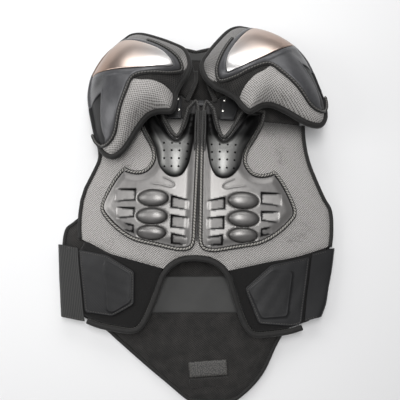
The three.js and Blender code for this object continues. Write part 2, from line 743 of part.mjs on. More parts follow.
function ventUnder(x, y) {
  const low = 1 - 0.6 * smooth(0.55 * plateAbove, 0.76 * plateAbove, y);
  const swell = smooth(2, ventRound, edgeDistance(ventOutline, Math.abs(x), y));
  return plateTop(x, y) + seat + ventRise * low * swell;
}
const holeRadius = 1.3;
const holePitch = 12.6;
const holeRise = 13.3;
const holeRows = 4;
const holeColumns = 4;
const holeCentre = 0.191;
const holeStart = 0.306;
const armHoles = 4;
const armHoleRadius = 1;
const drillLength = 60;

function ventHoles(side) {
  const spots = [];
  for (let row = 0; row < holeRows; row++) {
    for (let column = 0; column < holeColumns; column++) {
      const first = onPlate({ out: holeCentre, up: holeStart });
      const spread = (column - (holeColumns - 1) / 2) * holePitch;
      spots.push([first.x + spread * (0.94 + row * 0.04), first.y + row * holeRise, holeRadius]);
    }
  }
  for (let i = 0; i < armHoles; i++) {
    const p = onPlate({ out: 0.045 - i * 0.004, up: 0.66 + i * 0.07 });
    spots.push([p.x, p.y, armHoleRadius]);
  }
  return spots.map(([x, y, radius]) => {
    const drill = new THREE.CylinderGeometry(radius, radius, drillLength, 5);
    drill.rotateX(Math.PI / 2);
    drill.translate(side * x, y, ventUnder(x, y));
    return solidOf(drill);
  });
}

for (const [side, name] of [[-1, 'left'], [1, 'right']]) {
  const shape = (line) => (side > 0 ? line : mirrored(line));
  let plate = solidOf(outwards(sheet(shape(plateBody), 24, plateSeat, plateTop)));
  for (const row of domes) {
    const x = side * (plateGap + row.out * (plateReach - plateGap));
    const y = -row.down * plateBelow;
    const profile = [[0, -2], [1, -2], [1, 0], [0.86, 0.5], [0.5, 0.87], [0, 1]]
      .map(([out, up]) => new THREE.Vector2(out, up < 0 ? up / domeRise : up));
    const dome = new THREE.LatheGeometry(profile, 12);
    dome.rotateX(Math.PI / 2);
    dome.scale(row.long * domeLength / 2, row.wide * domeWidth / 2, domeRise);
    dome.translate(x, y, plateTop(x, y) - 0.6);
    plate = plate.add(solidOf(outwards(dome)));
  }
  for (const row of louvres) plate = plate.subtract(louvreCut(row, side));
  piece(front, 'chest_plate_' + name, 'plate', geometryFromSolid(plate));
  const cord = shape(inset(plateOutline, pipingWidth / 2))
    .map((p) => new THREE.Vector3(p.x, p.y, plateSeat(p.x, p.y) + pipingHeight / 2));
  piece(front, 'chest_piping_' + name, 'tape', cordAlong(cord, pipingWidth, pipingHeight, 6, true));
  let vent = solidOf(outwards(sheet(shape(ventOutline), 15, ventUnder, (x, y) => ventUnder(x, y) + ventWall)));
  for (const drill of ventHoles(side)) vent = vent.subtract(drill);
  piece(front, 'vent_dome_' + name, 'vent', geometryFromSolid(vent));
}

// Centre placket: a narrow sewn ridge between the two pipings, with a smooth tab at its top
const placketHalf = pipingParting - 2 * clearance;
const placketTop = 0.95;
const placketBottom = -0.8;
const placketHeight = 3;
const placketCount = 11;
const placketRings = [];
for (let i = 0; i <= placketCount; i++) {
  const up = placketTop + (placketBottom - placketTop) * (i / placketCount);
  const y = up * (up < 0 ? plateBelow : plateAbove);
  const foot = frontTop(placketHalf, y) + seat;
  placketRings.push([
    new THREE.Vector3(-placketHalf, y, foot),
    new THREE.Vector3(-placketHalf, y, foot + placketHeight * 0.7),
    new THREE.Vector3(0, y, foot + placketHeight),
    new THREE.Vector3(placketHalf, y, foot + placketHeight * 0.7),
    new THREE.Vector3(placketHalf, y, foot),
  ]);
}
piece(front, 'centre_placket', 'tape', lofted(placketRings, false));
const zipTab = new THREE.CapsuleGeometry(6, 6, 3, 8);
zipTab.rotateZ(Math.PI / 2);
zipTab.scale(1, 1, 0.4);
const zipTabUp = 1.04 * plateAbove;
zipTab.translate(0, zipTabUp, frontTop(0, zipTabUp) + 0.4 * 6 + seat);
piece(front, 'placket_tab', 'rubber', zipTab);

// Shoulder cups: one design and its mirror image, hanging from the straps at different angles
const cupSeats = [
  { name: 'left', side: -1, out: -0.156, up: 0.724, turn: -134.3 },
  { name: 'right', side: 1, out: 0.156, up: 0.656, turn: -16.6 },
].map((row) => ({ ...row, ...place(row, strapHalfWidth, collarReach, 0) }));
const cupEdge = [
  { along: -0.2, out: 0.24 },
  { along: -0.178, out: 0.465 },
  { along: -0.129, out: 0.69 },
  { along: -0.069, out: 0.887 },
  { along: 0.01, out: 0.985 },
  { along: 0.1, out: 1 },
  { along: 0.223, out: 1 },
  { along: 0.337, out: 0.986 },
  { along: 0.455, out: 0.944 },
  { along: 0.584, out: 0.873 },
  { along: 0.708, out: 0.732 },
  { along: 0.792, out: 0.577 },
  { along: 0.866, out: 0.408 },
  { along: 0.94, out: 0.225 },
  { along: 0.99, out: 0.07 },
  { along: 1, out: -0.056 },
  { along: 0.97, out: -0.169 },
  { along: 0.891, out: -0.218 },
  { along: 0.792, out: -0.211 },
  { along: 0.634, out: -0.155 },
  { along: 0.515, out: -0.134 },
  { along: 0.436, out: -0.183 },
  { along: 0.351, out: -0.31 },
  { along: 0.257, out: -0.254 },
  { along: 0.198, out: -0.18 },
  { along: 0.1, out: -0.12 },
  { along: 0, out: -0.085 },
  { along: -0.12, out: 0.03 },
  { along: -0.2, out: 0.24 },
];
const shellEdge = [
  { along: 0.03, out: -0.01 },
  { along: 0.158, out: 0.025 },
  { along: 0.24, out: 0.1 },
  { along: 0.347, out: 0.215 },
  { along: 0.411, out: 0.24 },
  { along: 0.515, out: 0.176 },
  { along: 0.619, out: 0.106 },
  { along: 0.7, out: 0.042 },
  { along: 0.797, out: -0.035 },
  { along: 0.88, out: -0.056 },
  { along: 0.93, out: -0.01 },
  { along: 0.93, out: 0.1 },
  { along: 0.86, out: 0.28 },
  { along: 0.792, out: 0.43 },
  { along: 0.71, out: 0.58 },
  { along: 0.62, out: 0.71 },
  { along: 0.5, out: 0.8 },
  { along: 0.4, out: 0.85 },
  { along: 0.29, out: 0.88 },
  { along: 0.18, out: 0.87 },
  { along: 0.1, out: 0.76 },
  { along: 0.02, out: 0.5 },
  { along: -0.01, out: 0.3 },
  { along: -0.02, out: 0.12 },
  { along: 0.03, out: -0.01 },
];
const metalEdge = [
  { along: 0.07, out: 0.11 },
  { along: 0.125, out: 0.11 },
  { along: 0.282, out: 0.27 },
  { along: 0.42, out: 0.47 },
  { along: 0.5, out: 0.63 },
  { along: 0.5, out: 0.69 },
  { along: 0.4, out: 0.75 },
  { along: 0.22, out: 0.79 },
  { along: 0.14, out: 0.68 },
  { along: 0.07, out: 0.47 },
  { along: 0.045, out: 0.28 },
  { along: 0.07, out: 0.11 },
];
const rimTape = 10;
const rimTapeHeight = 12;
const cupTilt = 0.27; // fall of the rim per unit across the shoulder
const cupDroop = 37; // fall of the rim over one cup length from its high point
const cupHigh = 0.35;
const beadWidth = 4;
const onCup = (row) => new THREE.Vector2(row.along * cupLength, row.out * cupWidth);
const cupLine = (edge, step) => trace(edge.map(onCup), [], step).slice(0, -1);
const rimLine = cupLine(cupEdge, 20);
const padLine = inset(rimLine, rimTape + clearance);
const cupCentre = onCup({ along: 0.42, out: 0.32 });
const rimHeight = (a, b) => cupRim - cupTilt * b - cupDroop * (a / cupLength - cupHigh) ** 2;

// How far a point is from the crest, as a share of the way to the pad's edge
function crestShare(a, b) {
  const away = new THREE.Vector2(a - cupCentre.x, b - cupCentre.y);
  let share = 0;
  padLine.forEach((p, i) => {
    const q = padLine[(i + 1) % padLine.length];
    const from = p.clone().sub(cupCentre);
    const edge = q.clone().sub(p);
    const cross = away.x * edge.y - away.y * edge.x;
    if (Math.abs(cross) < 1e-9) return;
    const reach = (from.x * edge.y - from.y * edge.x) / cross;
    const along = (from.x * away.y - from.y * away.x) / cross;
    if (reach > 0 && along > -1e-6 && along < 1 + 1e-6) share = Math.max(share, 1 / reach);
  });
  return Math.min(share, 1);
}
const cupHollow = cupCrest - cupWall / 2 - rimHeight(cupCentre.x, cupCentre.y);
const padMiddle = (a, b) => rimHeight(a, b) + cupHollow * (1 - crestShare(a, b) ** 2.6) ** 0.75;
const padTop = (a, b) => padMiddle(a, b) + cupWall / 2;
const padUnder = (a, b) => padMiddle(a, b) - cupWall / 2;

const shellOuter = cupLine(shellEdge, 16);
const shellBody = inset(shellOuter, beadWidth + 0.8);
const metalLine = cupLine(metalEdge, 16);
const beadHead = 16; // points of the shell's outline that the stitched cord follows from the neck tip
const beadTail = 6; // and back round the neck side
const ringShares = [0.93, 0.8];
const cupRings = ringShares.flatMap((share, k) => padLine
  .filter((_, i) => i % (k + 1) === 0)
  .map((p) => p.clone().sub(cupCentre).multiplyScalar(share).add(cupCentre)));
const clearRings = cupRings.filter((p) => [...shellBody, ...metalLine]
  .every((q) => q.distanceTo(p) > 9) && edgeDistance(shellBody, p.x, p.y) > 5);
const cupSpacing = 27;
const cupMesh = meshArea(padLine, cupSpacing, [...clearRings, ...shellBody, ...metalLine]);
const within = (line) => ({
  points: cupMesh.points,
  triangles: cupMesh.triangles.filter(([a, b, c]) => {
    const middle = cupMesh.points[a].clone().add(cupMesh.points[b]).add(cupMesh.points[c]).divideScalar(3);
    return isInside(line, middle.x, middle.y);
  }),
});

// Gusset: the folded mesh that stands on a strap and carries the neck end of its cup
const gussetEdge = [
  { along: 0.06, out: 0.01 },
  { along: 0, out: 0.1 },
  { along: -0.035, out: 0.2 },
  { along: -0.06, out: 0.32 },
];
const gussetThickness = 3;
function gusset(seatRow) {
  const turn = THREE.MathUtils.degToRad(seatRow.turn);
  const line = trace(gussetEdge.map(onCup), [], 16);
  return lofted(line.map((p, i) => {
    const along = line[Math.min(i + 1, line.length - 1)].clone().sub(line[Math.max(i - 1, 0)]).normalize();
    const sides = [-0.5, 0.5].map((share) => new THREE.Vector2(
      p.x + along.y * share * gussetThickness, p.y - along.x * share * gussetThickness));
    const world = new THREE.Vector2(p.x, seatRow.side * p.y).rotateAround(new THREE.Vector2(), turn);
    const seatPoint = toFront(world.x + seatRow.x, world.y + seatRow.y);
    const foot = strapTop(Math.abs(seatPoint.x), seatPoint.y) + seat * 2;
    const head = Math.min(...sides.map((q) => padUnder(q.x, q.y))) - seat * 3;
    return [
      new THREE.Vector3(sides[0].x, sides[0].y, foot),
      new THREE.Vector3(sides[1].x, sides[1].y, foot),
      new THREE.Vector3(sides[1].x, sides[1].y, head),
      new THREE.Vector3(sides[0].x, sides[0].y, head),
    ];
  }), false);
}

function flipped(geometry) {
  geometry.scale(1, -1, 1);
  return geometry;
}

for (const row of cupSeats) {
  const cup = new THREE.Group();
  cup.position.set(row.x, row.y, 0);
  cup.rotation.z = THREE.MathUtils.degToRad(row.turn);
  vest.add(cup);
  const hand = (geometry) => (row.side > 0 ? geometry : flipped(geometry));
  piece(cup, 'shoulder_gusset_' + row.name, 'blackMesh', hand(gusset(row)));
  piece(cup, 'shoulder_pad_' + row.name, 'mesh', hand(sheetOver(cupMesh, padUnder, padTop)));
  const shellUnder = (a, b) => padTop(a, b) + clearance * 2;
  const shellTop = (a, b) => shellUnder(a, b) + shellThickness;
  piece(cup, 'shoulder_shell_' + row.name, 'shell', hand(sheetOver(within(shellBody), shellUnder, shellTop)));
  const metalUnder = (a, b) => shellTop(a, b) + clearance * 2;
  piece(cup, 'shoulder_plate_' + row.name, 'metal',
    hand(sheetOver(within(metalLine), metalUnder, (a, b) => metalUnder(a, b) + metalThickness)));
  const bead = inset(shellOuter, beadWidth / 2).slice(-beadTail);
  bead.push(...inset(shellOuter, beadWidth / 2).slice(0, beadHead));
  const beadLine = bead.map((p) => new THREE.Vector3(p.x, p.y, shellUnder(p.x, p.y) + beadWidth * 1.3));
  piece(cup, 'shoulder_piping_' + row.name, 'tape', hand(cordAlong(beadLine, beadWidth, beadWidth, 4, false)));
  const rim = inset(rimLine, rimTape / 2).map((p) => new THREE.Vector3(p.x, p.y, rimHeight(p.x, p.y)))
    .reverse();
  piece(cup, 'shoulder_binding_' + row.name, 'tape', hand(cordAlong(rim, rimTape, rimTapeHeight, 5, true)));
}

// Waist belt: each end folds round the edge of a wing and sticks to the front with a smooth tab
const beltOverhang = 10; // how far the belt's folds stand out past the wings
const beltReach = backHalfWidth + beltOverhang;
const beltThickness = 2;
const belts = [
  {
    name: 'belt_elastic_left',
    look: 'elastic',
    side: -1,
    slant: 0.19,
    rows: [
      { up: -0.34, inner: 0.85, fold: 0.997 },
      { up: -0.47, inner: 0.832, fold: 0.986 },
      { up: -0.6, inner: 0.815, fold: 0.976 },
      { up: -0.7, inner: 0.802, fold: 0.966 },
      { up: -0.8, inner: 0.79, fold: 0.957 },
      { up: -0.9, inner: 0.775, fold: 0.947 },
    ],
  },
  {
    name: 'belt_strap_right',
    look: 'rubber',
    side: 1,
    slant: 0.24,
    rows: [
      { up: -0.372, inner: 0.77, fold: 0.945 },
      { up: -0.47, inner: 0.755, fold: 0.93 },
      { up: -0.57, inner: 0.742, fold: 0.912 },
      { up: -0.68, inner: 0.725, fold: 0.888 },
      { up: -0.8, inner: 0.712, fold: 0.866 },
      { up: -0.9, inner: 0.702, fold: 0.83 },
    ],
  },
];

function wingEdge(side, y) {
  let far = 0;
  backOutline.forEach((p, i) => {
    const q = backOutline[(i + 1) % backOutline.length];
    if (p.y > y === q.y > y) return;
    const x = p.x + ((q.x - p.x) * (y - p.y)) / (q.y - p.y) + backShift;
    if (x * side > far) far = x * side;
  });
  return far;
}

for (const belt of belts) {
  const rings = belt.rows.map((row) => {
    const y = row.up * loopReach;
    const inner = row.inner * beltReach;
    const fold = row.fold * beltReach;
    const wing = Math.max(...[-12, -6, 0, 6, 12].map((step) => wingEdge(belt.side, y + step))) + clearance * 2;
    const start = toFront(belt.side * inner, y);
    const slipped = toFront(belt.side * inner, y - belt.slant * (fold - inner));
    const rest = Math.max(loopTop(start.x, start.y), loopTop(slipped.x, slipped.y));
    const line = [
      [inner, rest + seat + beltThickness / 2],
      [fold - 10, 21.5],
      [fold - 3.5, 18.5],
      [fold - 1, 11],
      [fold - 3.5, 4.5],
      [wing + Math.max(fold - 3.5 - wing, 1) * 0.5, 1.8],
      [wing, 1.5],
    ].map(([x, z]) => new THREE.Vector2(x, z));
    const legLength = 4; // points of the line that lie over the front
    const offset = (p, i, reach) => {
      const along = line[Math.min(i + 1, line.length - 1)].clone().sub(line[Math.max(i - 1, 0)]).normalize();
      const slip = i < legLength ? belt.slant * (fold - p.x) : 0;
      return new THREE.Vector3(belt.side * (p.x - along.y * reach), y - slip, p.y + along.x * reach);
    };
    const outer = line.map((p, i) => offset(p, i, beltThickness / 2));
    const back = line.map((p, i) => offset(p, i, -beltThickness / 2)).reverse();
    return [...outer, ...back];
  });
  piece(vest, belt.name, belt.look, lofted(rings, false));
}

const beltTabs = [
  {
    name: 'belt_tab_left',
    side: -1,
    edge: [
      { out: 0.838, up: -0.385 },
      { out: 0.775, up: -0.87 },
      { out: 0.585, up: -0.9 },
      { out: 0.443, up: -0.81 },
      { out: 0.443, up: -0.56 },
      { out: 0.638, up: -0.43 },
    ],
  },
  {
    name: 'belt_tab_right',
    side: 1,
    edge: [
      { out: 0.755, up: -0.445 },
      { out: 0.68, up: -0.955 },
      { out: 0.618, up: -0.975 },
      { out: 0.39, up: -0.955 },
      { out: 0.3, up: -0.69 },
      { out: 0.48, up: -0.51 },
    ],
  },
];
for (const tab of beltTabs) {
  const points = tab.edge.map((row) => place(row, beltReach, 0, loopReach))
    .map((p) => new THREE.Vector2(tab.side * p.x, p.y));
  const outline = trace([...points, points[0]], new Array(points.length + 1).fill(true), 24).slice(0, -1);
  const under = (x, y) => {
    const p = toFront(x, y);
    return loopTop(p.x, p.y) + seat;
  };
  piece(vest, tab.name, 'rubber', sheet(outline, 24, under, (x, y) => under(x, y) + tabThickness));
}

export default vest;
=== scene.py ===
"""Motorcycle armour vest lying on its back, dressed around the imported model. Lengths here are millimetres."""
import math

import bpy
import numpy as np
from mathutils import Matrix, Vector, geometry


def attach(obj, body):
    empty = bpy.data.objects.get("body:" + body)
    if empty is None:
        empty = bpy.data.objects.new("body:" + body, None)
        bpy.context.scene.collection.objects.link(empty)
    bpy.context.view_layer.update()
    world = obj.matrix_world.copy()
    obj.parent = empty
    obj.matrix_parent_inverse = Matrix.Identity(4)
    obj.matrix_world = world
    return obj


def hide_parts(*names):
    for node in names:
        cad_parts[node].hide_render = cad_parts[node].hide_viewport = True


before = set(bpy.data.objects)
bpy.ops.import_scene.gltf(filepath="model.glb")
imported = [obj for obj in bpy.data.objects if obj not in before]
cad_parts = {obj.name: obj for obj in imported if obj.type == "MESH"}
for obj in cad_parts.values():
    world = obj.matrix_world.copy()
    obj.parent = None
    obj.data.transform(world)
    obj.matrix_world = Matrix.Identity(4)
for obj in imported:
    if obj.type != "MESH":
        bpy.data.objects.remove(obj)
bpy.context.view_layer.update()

# ----------------------------------------------------------------------
# Floor, light and camera. A plain pale floor in a grey studio that is lighter low down and overhead, a
# soft box over the vest, and lower ones on its left and beyond its collar. The camera looks down steeply
# from the tail side.
METRE = 1000.0  # millimetres in Blender's unit
FLOOR_REACH = 4000
FLOOR_DROP = 0.4  # below the vest, so that no two faces share a plane
FLOOR_PAINT = ("E1E1E1", "E6E6E6")
CAMERA_LENS = 38
CAMERA_RISE = 79  # degrees above the floor
CAMERA_DISTANCE = 717.8
CAMERA_TARGET = (0, 0, 40)


def linear(code):
    """The linear colour of an sRGB hex code."""
    parts = [int(code[i:i + 2], 16) / 255 for i in (0, 2, 4)]
    return tuple(((c + 0.055) / 1.055) ** 2.4 if c > 0.04045 else c / 12.92 for c in parts) + (1.0,)


def add_node(tree, kind, links=None, values=None, stops=(), to=None, **settings):
    """One node, by its kind without ShaderNode: its settings, input values and colour stops. What is linked
    into it is a socket, or a node for its first output, which may itself go on to an input of the shader."""
    node = tree.nodes.new("ShaderNode" + kind)
    for name, value in settings.items():
        setattr(node, name, value)
    for name, value in (values or {}).items():
        node.inputs[name].default_value = value
    for number, (place, code) in enumerate(stops):
        stop = node.color_ramp.elements[number] if number < 2 else node.color_ramp.elements.new(place)
        stop.position, stop.color = place, linear(code)
    for name, source in (links or {}).items():
        tree.links.new(getattr(source, "outputs", [source])[0], node.inputs[name])
    if to:
        tree.links.new(node.outputs[0], tree.nodes["Principled BSDF"].inputs[to])
    return node


def new_material(name, **values):
    """A material with one Principled shader, and the shader's plain values by name, as Sheen_Weight."""
    material = bpy.data.materials.new(name)
    material.use_nodes = True
    shader = material.node_tree.nodes["Principled BSDF"]
    for key, value in values.items():
        shader.inputs[key.replace("_", " ")].default_value = value
    return material, material.node_tree, shader


# Matt painted board: almost no gloss, so it shows only the vest's soft shadow.
floor_board, tree, shader = new_material("matt_painted_board", Roughness=0.85)
speckle = add_node(tree, "TexNoise", values={"Scale": 3.0, "Detail": 2.0})
add_node(tree, "ValToRGB", links={0: speckle}, stops=enumerate(FLOOR_PAINT), to="Base Color")

floor_mesh = bpy.data.meshes.new("floor")
floor_corners = [(x * FLOOR_REACH / METRE, y * FLOOR_REACH / METRE, -FLOOR_DROP / METRE)
                 for x, y in ((-1, -1), (1, -1), (1, 1), (-1, 1))]
floor_mesh.from_pydata(floor_corners, [], [(0, 1, 2, 3)])
floor = bpy.data.objects.new("floor", floor_mesh)
floor_mesh.materials.append(floor_board)
bpy.context.scene.collection.objects.link(floor)

# height and tone
CEILING_TONES = [(0, "9A9A9C"), (1, "F0F0F2"), (0.16, "6A6A6C"), (0.45, "4C4C4E"), (0.8, "9C9C9E")]
world = bpy.data.worlds.new("studio")
bpy.context.scene.world = world
world.use_nodes = True
world.node_tree.nodes["Background"].inputs["Strength"].default_value = 1.0
sky = add_node(world.node_tree, "TexCoord")
sky_height = add_node(world.node_tree, "SeparateXYZ", links={0: sky.outputs["Generated"]})
ceiling = add_node(world.node_tree, "ValToRGB", links={0: sky_height.outputs["Z"]}, stops=CEILING_TONES)
world.node_tree.links.new(ceiling.outputs[0], world.node_tree.nodes["Background"].inputs["Color"])

# name, place, aim, width, length and power in watts
SOFT_BOXES = [
    ("soft_box_over", (0, 60, 1150), (0, 40, 0), 330, 900, 8.0),
    ("soft_box_left", (-1100, 100, 650), (0, 40, 0), 700, 900, 7.0),
    ("soft_box_collar", (0, 1050, 720), (0, 150, 60), 1500, 520, 7.0),
]
for name, place, aim, width, length, power in SOFT_BOXES:
    lamp = bpy.data.lights.new(name, "AREA")
    lamp.shape = "RECTANGLE"
    lamp.size = width / METRE
    lamp.size_y = length / METRE
    lamp.energy = power
    soft_box = bpy.data.objects.new(name, lamp)
    soft_box.location = Vector(place) / METRE
    soft_box.rotation_euler = (Vector(aim) - Vector(place)).to_track_quat("-Z", "Y").to_euler()
    bpy.context.scene.collection.objects.link(soft_box)

# A plain tone curve keeps the contrast of a photograph: white floor, deep blacks.
bpy.context.scene.view_settings.view_transform = "Standard"

camera_data = bpy.data.cameras.new("camera")
camera_data.lens = CAMERA_LENS
camera_data.clip_start = 0.01
camera = bpy.data.objects.new("camera", camera_data)
rise = math.radians(CAMERA_RISE)
camera_place = Vector(CAMERA_TARGET) + CAMERA_DISTANCE * Vector((0, -math.cos(rise), math.sin(rise)))
camera.location = camera_place / METRE
camera.rotation_euler = (Vector(CAMERA_TARGET) - camera_place).to_track_quat("-Z", "Y").to_euler()
bpy.context.scene.collection.objects.link(camera)
bpy.context.scene.camera = camera

# ----------------------------------------------------------------------
# Back panel. One padded piece of thick knitted spacer mesh from the collar to the pointed tail, with
# a wing each side of the waist. A sewn channel runs inside the tail's edge, and folded tape binds it.
BACK_HALF_WIDTH = 236
COLLAR_REACH = 308
TAIL_REACH = 331
BACK_THICKNESS = 12
BACK_SHIFT = -7
TAIL_DRIFT = 27
BINDING_WIDTH = 7
BINDING_HEIGHT = 9.6
BINDING_REST = 5  # its middle
BINDING_SEAM_REST = 8.7
BACK_EDGE_ROUND = 9  # how far in the pad is pulled thin by its tape
BACK_EDGE_THICKNESS = 7
TAIL_CHANNEL_INSET = 21  # from the outer edge to the sewn channel
TAIL_CHANNEL_DEPTH = 1.6
TAIL_CHANNEL_WIDTH = 2.2
TAIL_CHANNEL_FROM = -170  # it starts here and is full depth there
TAIL_CHANNEL_TO = -215
BACK_EDGE = [  # share of the half width, share of the reach to the collar or the tail
    (0, -1), (0.12, -0.996), (0.2, -0.972), (0.38, -0.86), (0.56, -0.715), (0.66, -0.645), (0.82, -0.58),
    (0.87, -0.53), (0.94, -0.39), (0.985, -0.25), (0.975, -0.14), (0.91, -0.095), (0.84, -0.04),
    (0.79, 0.12), (0.73, 0.28), (0.64, 0.4), (0.56, 0.55), (0.53, 0.72), (0.5, 0.85), (0.4, 0.93),
    (0.2, 0.99), (0, 0.965),
]


def ease(low, high, value):
    """0 below low, 1 above high and a smooth S between."""
    t = np.clip((np.asarray(value, float) - low) / (high - low), 0, 1)
    return t * t * (3 - 2 * t)


def place_rows(rows, width, above, below):
    """Table rows of width and reach shares as points."""
    return [(row[0] * width, row[1] * (below if row[1] < 0 else above)) for row in rows]


def travelled(line):
    """The distance along a line at each of its points."""
    return np.concatenate([[0], np.cumsum(np.linalg.norm(np.diff(line, axis=0), axis=1))])


def unit(vectors):
    """Rows of vectors at length 1."""
    return vectors / np.maximum(np.linalg.norm(vectors, axis=1), 1e-9)[:, None]


def at_height(line, height):
    """Flat points as points at a height, or at one height each."""
    return np.column_stack([line, np.full(len(line), height, float)])


def trace(points, step, corners=()):
    """A smooth line through points with an even step, broken at the points numbered in corners."""
    points = np.asarray(points, float)
    breaks = [0] + sorted(c for c in corners if 0 < c < len(points) - 1) + [len(points) - 1]
    line = []
    for first, last in zip(breaks, breaks[1:]):
        run = points[first:last + 1]
        if len(run) == 2:
            fine = run
        else:
            before = np.vstack([run[:1], run[:-1]])
            after = np.vstack([run[2:], run[-1:]])
            fine = []
            for i in range(len(run) - 1):
                a, b, c, d = before[i], run[i], run[i + 1], after[i]
                for t in np.linspace(0, 1, 24, endpoint=False):
                    fine.append(0.5 * (2 * b + (c - a) * t + (2 * a - 5 * b + 4 * c - d) * t ** 2
                                       + (3 * b - a - 3 * c + d) * t ** 3))
            fine = np.array(fine + [run[-1]])
        travel = travelled(fine)
        count = max(1, round(travel[-1] / step))
        marks = np.linspace(0, travel[-1], count + 1)[:-1]
        line.append(np.stack([np.interp(marks, travel, fine[:, k]) for k in range(run.shape[1])], 1))
    return np.vstack(line + [points[-1:]])


def mirror(line):
    """A line on the other side of the centre, in the order that keeps its turning sense."""
    return (np.asarray(line) * [-1, 1])[::-1]


def both_halves(half):
    """A closed outline from its right half, which runs from the centre to the centre."""
    return np.vstack([half, mirror(half)[1:-1]])


def shrink(loop, distance):
    """A closed line moved inwards by a distance, with mitred corners."""
    loop = np.asarray(loop, float)
    area = np.sum(loop[:, 0] * np.roll(loop[:, 1], -1) - np.roll(loop[:, 0], -1) * loop[:, 1])
    arriving = unit(loop - np.roll(loop, 1, 0))
    leaving = np.roll(arriving, -1, 0)
    along = unit(arriving + leaving)
    reach = np.sign(area) * distance / np.maximum(np.sum(along * leaving, 1), 0.5)
    return loop + np.stack([-along[:, 1], along[:, 0]], 1) * reach[:, None]


def shrunk(loop, *distances):
    """A closed line moved inwards by each distance."""
    return [shrink(loop, distance) for distance in distances]


def is_inside(loop, x, y):
    """Which points lie inside a closed line."""
    inside = np.zeros(np.shape(x), bool)
    for (ax, ay), (bx, by) in zip(loop, np.roll(loop, 1, 0)):
        if ay == by:
            continue
        crosses = (ay > y) != (by > y)
        inside ^= crosses & (x < (bx - ax) * (y - ay) / (by - ay) + ax)
    return inside


def away_from(line, x, y, closed=True):
    """Distance of each point from a line."""
    best = np.full(np.shape(x), 1e9)
    line = np.asarray(line, float)
    ends = np.roll(line, -1, 0) if closed else line[1:]
    for (ax, ay), (bx, by) in zip(line, ends):
        dx, dy = bx - ax, by - ay
        share = np.clip(((x - ax) * dx + (y - ay) * dy) / max(dx * dx + dy * dy, 1e-12), 0, 1)
        best = np.minimum(best, np.hypot(x - ax - share * dx, y - ay - share * dy))
    return best


def net(outline, spacing, seams=(), holes=(), rows=()):
    """Points and triangles that fill an outline. Seams and holes are closed lines kept as edges, and rows
    are lines whose points are kept."""
    outline = np.asarray(outline, float)
    low, high = outline.min(0), outline.max(0)
    step = spacing * 0.866
    grid = []
    for k, y in enumerate(np.arange(low[1] + step / 2, high[1], step)):
        x = np.arange(low[0] + (k % 2) * spacing / 2, high[0], spacing)
        grid.append(np.stack([x, np.full(len(x), y)], 1))
    grid = np.vstack(grid)
    kept = is_inside(outline, grid[:, 0], grid[:, 1])
    for line in [outline, *seams, *holes]:
        kept &= away_from(line, grid[:, 0], grid[:, 1]) > spacing * 0.5
    for line in rows:
        for x, y in line:
            kept &= np.hypot(grid[:, 0] - x, grid[:, 1] - y) > spacing * 0.55
    points, edges = [], []
    for line in [outline, *seams, *holes]:
        first = len(points)
        points += [Vector(p) for p in line]
        edges += [(first + i, first + (i + 1) % len(line)) for i in range(len(line))]
    points += [Vector(p) for line in rows for p in line]
    points += [Vector(p) for p in grid[kept]]
    points, _, faces = geometry.delaunay_2d_cdt(points, edges, [], 0, 1e-5)[:3]
    points = np.array([tuple(p) for p in points])
    faces = np.array([f[:3] for f in faces])
    middle = points[faces].mean(1)
    kept = is_inside(outline, middle[:, 0], middle[:, 1])
    for line in holes:
        kept &= ~is_inside(line, middle[:, 0], middle[:, 1])
    return points, faces[kept]


def make_piece(name, points, faces, material, maps=None, sharp=None):
    """A mesh object from points in millimetres, with the weave's map in millimetres of cloth."""
    mesh = bpy.data.meshes.new(name)
    points = np.asarray(points, float)
    mesh.from_pydata((points / METRE).tolist(), [], [list(map(int, f)) for f in faces])
    layer = mesh.uv_layers.new(name="cut")
    corners = np.zeros(len(mesh.loops), int)
    mesh.loops.foreach_get("vertex_index", corners)
    flat = points[:, :2] if maps is None else np.asarray(maps, float)
    if maps is None or len(flat) == len(points):
        flat = flat[corners]
    layer.data.foreach_set("uv", np.ascontiguousarray(flat).ravel())
    mesh.materials.append(material)
    mesh.validate()
    mesh.shade_smooth()
    if sharp:
        mesh.set_sharp_from_angle(angle=math.radians(sharp))
    made = bpy.data.objects.new(name, mesh)
    bpy.context.scene.collection.objects.link(made)
    return made


def pad(name, plan, lower, upper, material, turn=None, sharp=None):
    """A closed sheet between a lower and an upper surface; they join where they meet at the edge."""
    points, faces = plan
    x, y = points[:, 0], points[:, 1]
    low, high = lower(x, y), upper(x, y)
    joined = high - low < 0.02
    count = len(points)
    under = np.where(joined, np.arange(count), np.arange(count) + count)
    solid = [tuple(f) for f in faces] + [tuple(under[f][::-1]) for f in faces]
    ends = {}
    for f in faces:
        for u, v in ((f[0], f[1]), (f[1], f[2]), (f[2], f[0])):
            if ends.pop((v, u), None) is None:
                ends[(u, v)] = True
    for u, v in ends:
        if joined[u] and joined[v]:
            continue
        solid.append(tuple(dict.fromkeys([v, u, under[u], under[v]])))
    body = np.vstack([np.column_stack([x, y, high]), np.column_stack([x, y, low])])
    used = np.unique(np.concatenate([np.array(f) for f in solid]))
    renumber = np.full(2 * count, -1)
    renumber[used] = np.arange(len(used))
    body = turn(body[used]) if turn else body[used]
    maps = np.vstack([points, points])[used]
    return make_piece(name, body, [renumber[list(f)] for f in solid], material, maps, sharp)


def bulge(t):
    """The rise of a quarter circle: 0 at the edge, 1 from t = 1 on."""
    return np.sqrt(1 - (1 - np.clip(t, 0, 1)) ** 2)


def ripple(x, y, length, seed=0.0):
    """A gentle unevenness of about 1 millimetre either way, such as cloth has."""
    a, b = x / length * 6.283, y / length * 6.283
    return (np.sin(a + 1.3 * seed) * np.cos(0.8 * b + seed) + 0.6 * np.sin(1.7 * a - 1.1 * b + 2 * seed)
            + 0.4 * np.cos(2.3 * b + 0.9 * a - seed)) / 2


def on_body(piece, slot_name, *nodes):
    """A finished piece: it rides on the vest and stands for its nodes; slot_name is not used."""
    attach(piece, "root")
    if nodes:
        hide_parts(*nodes)
    return piece


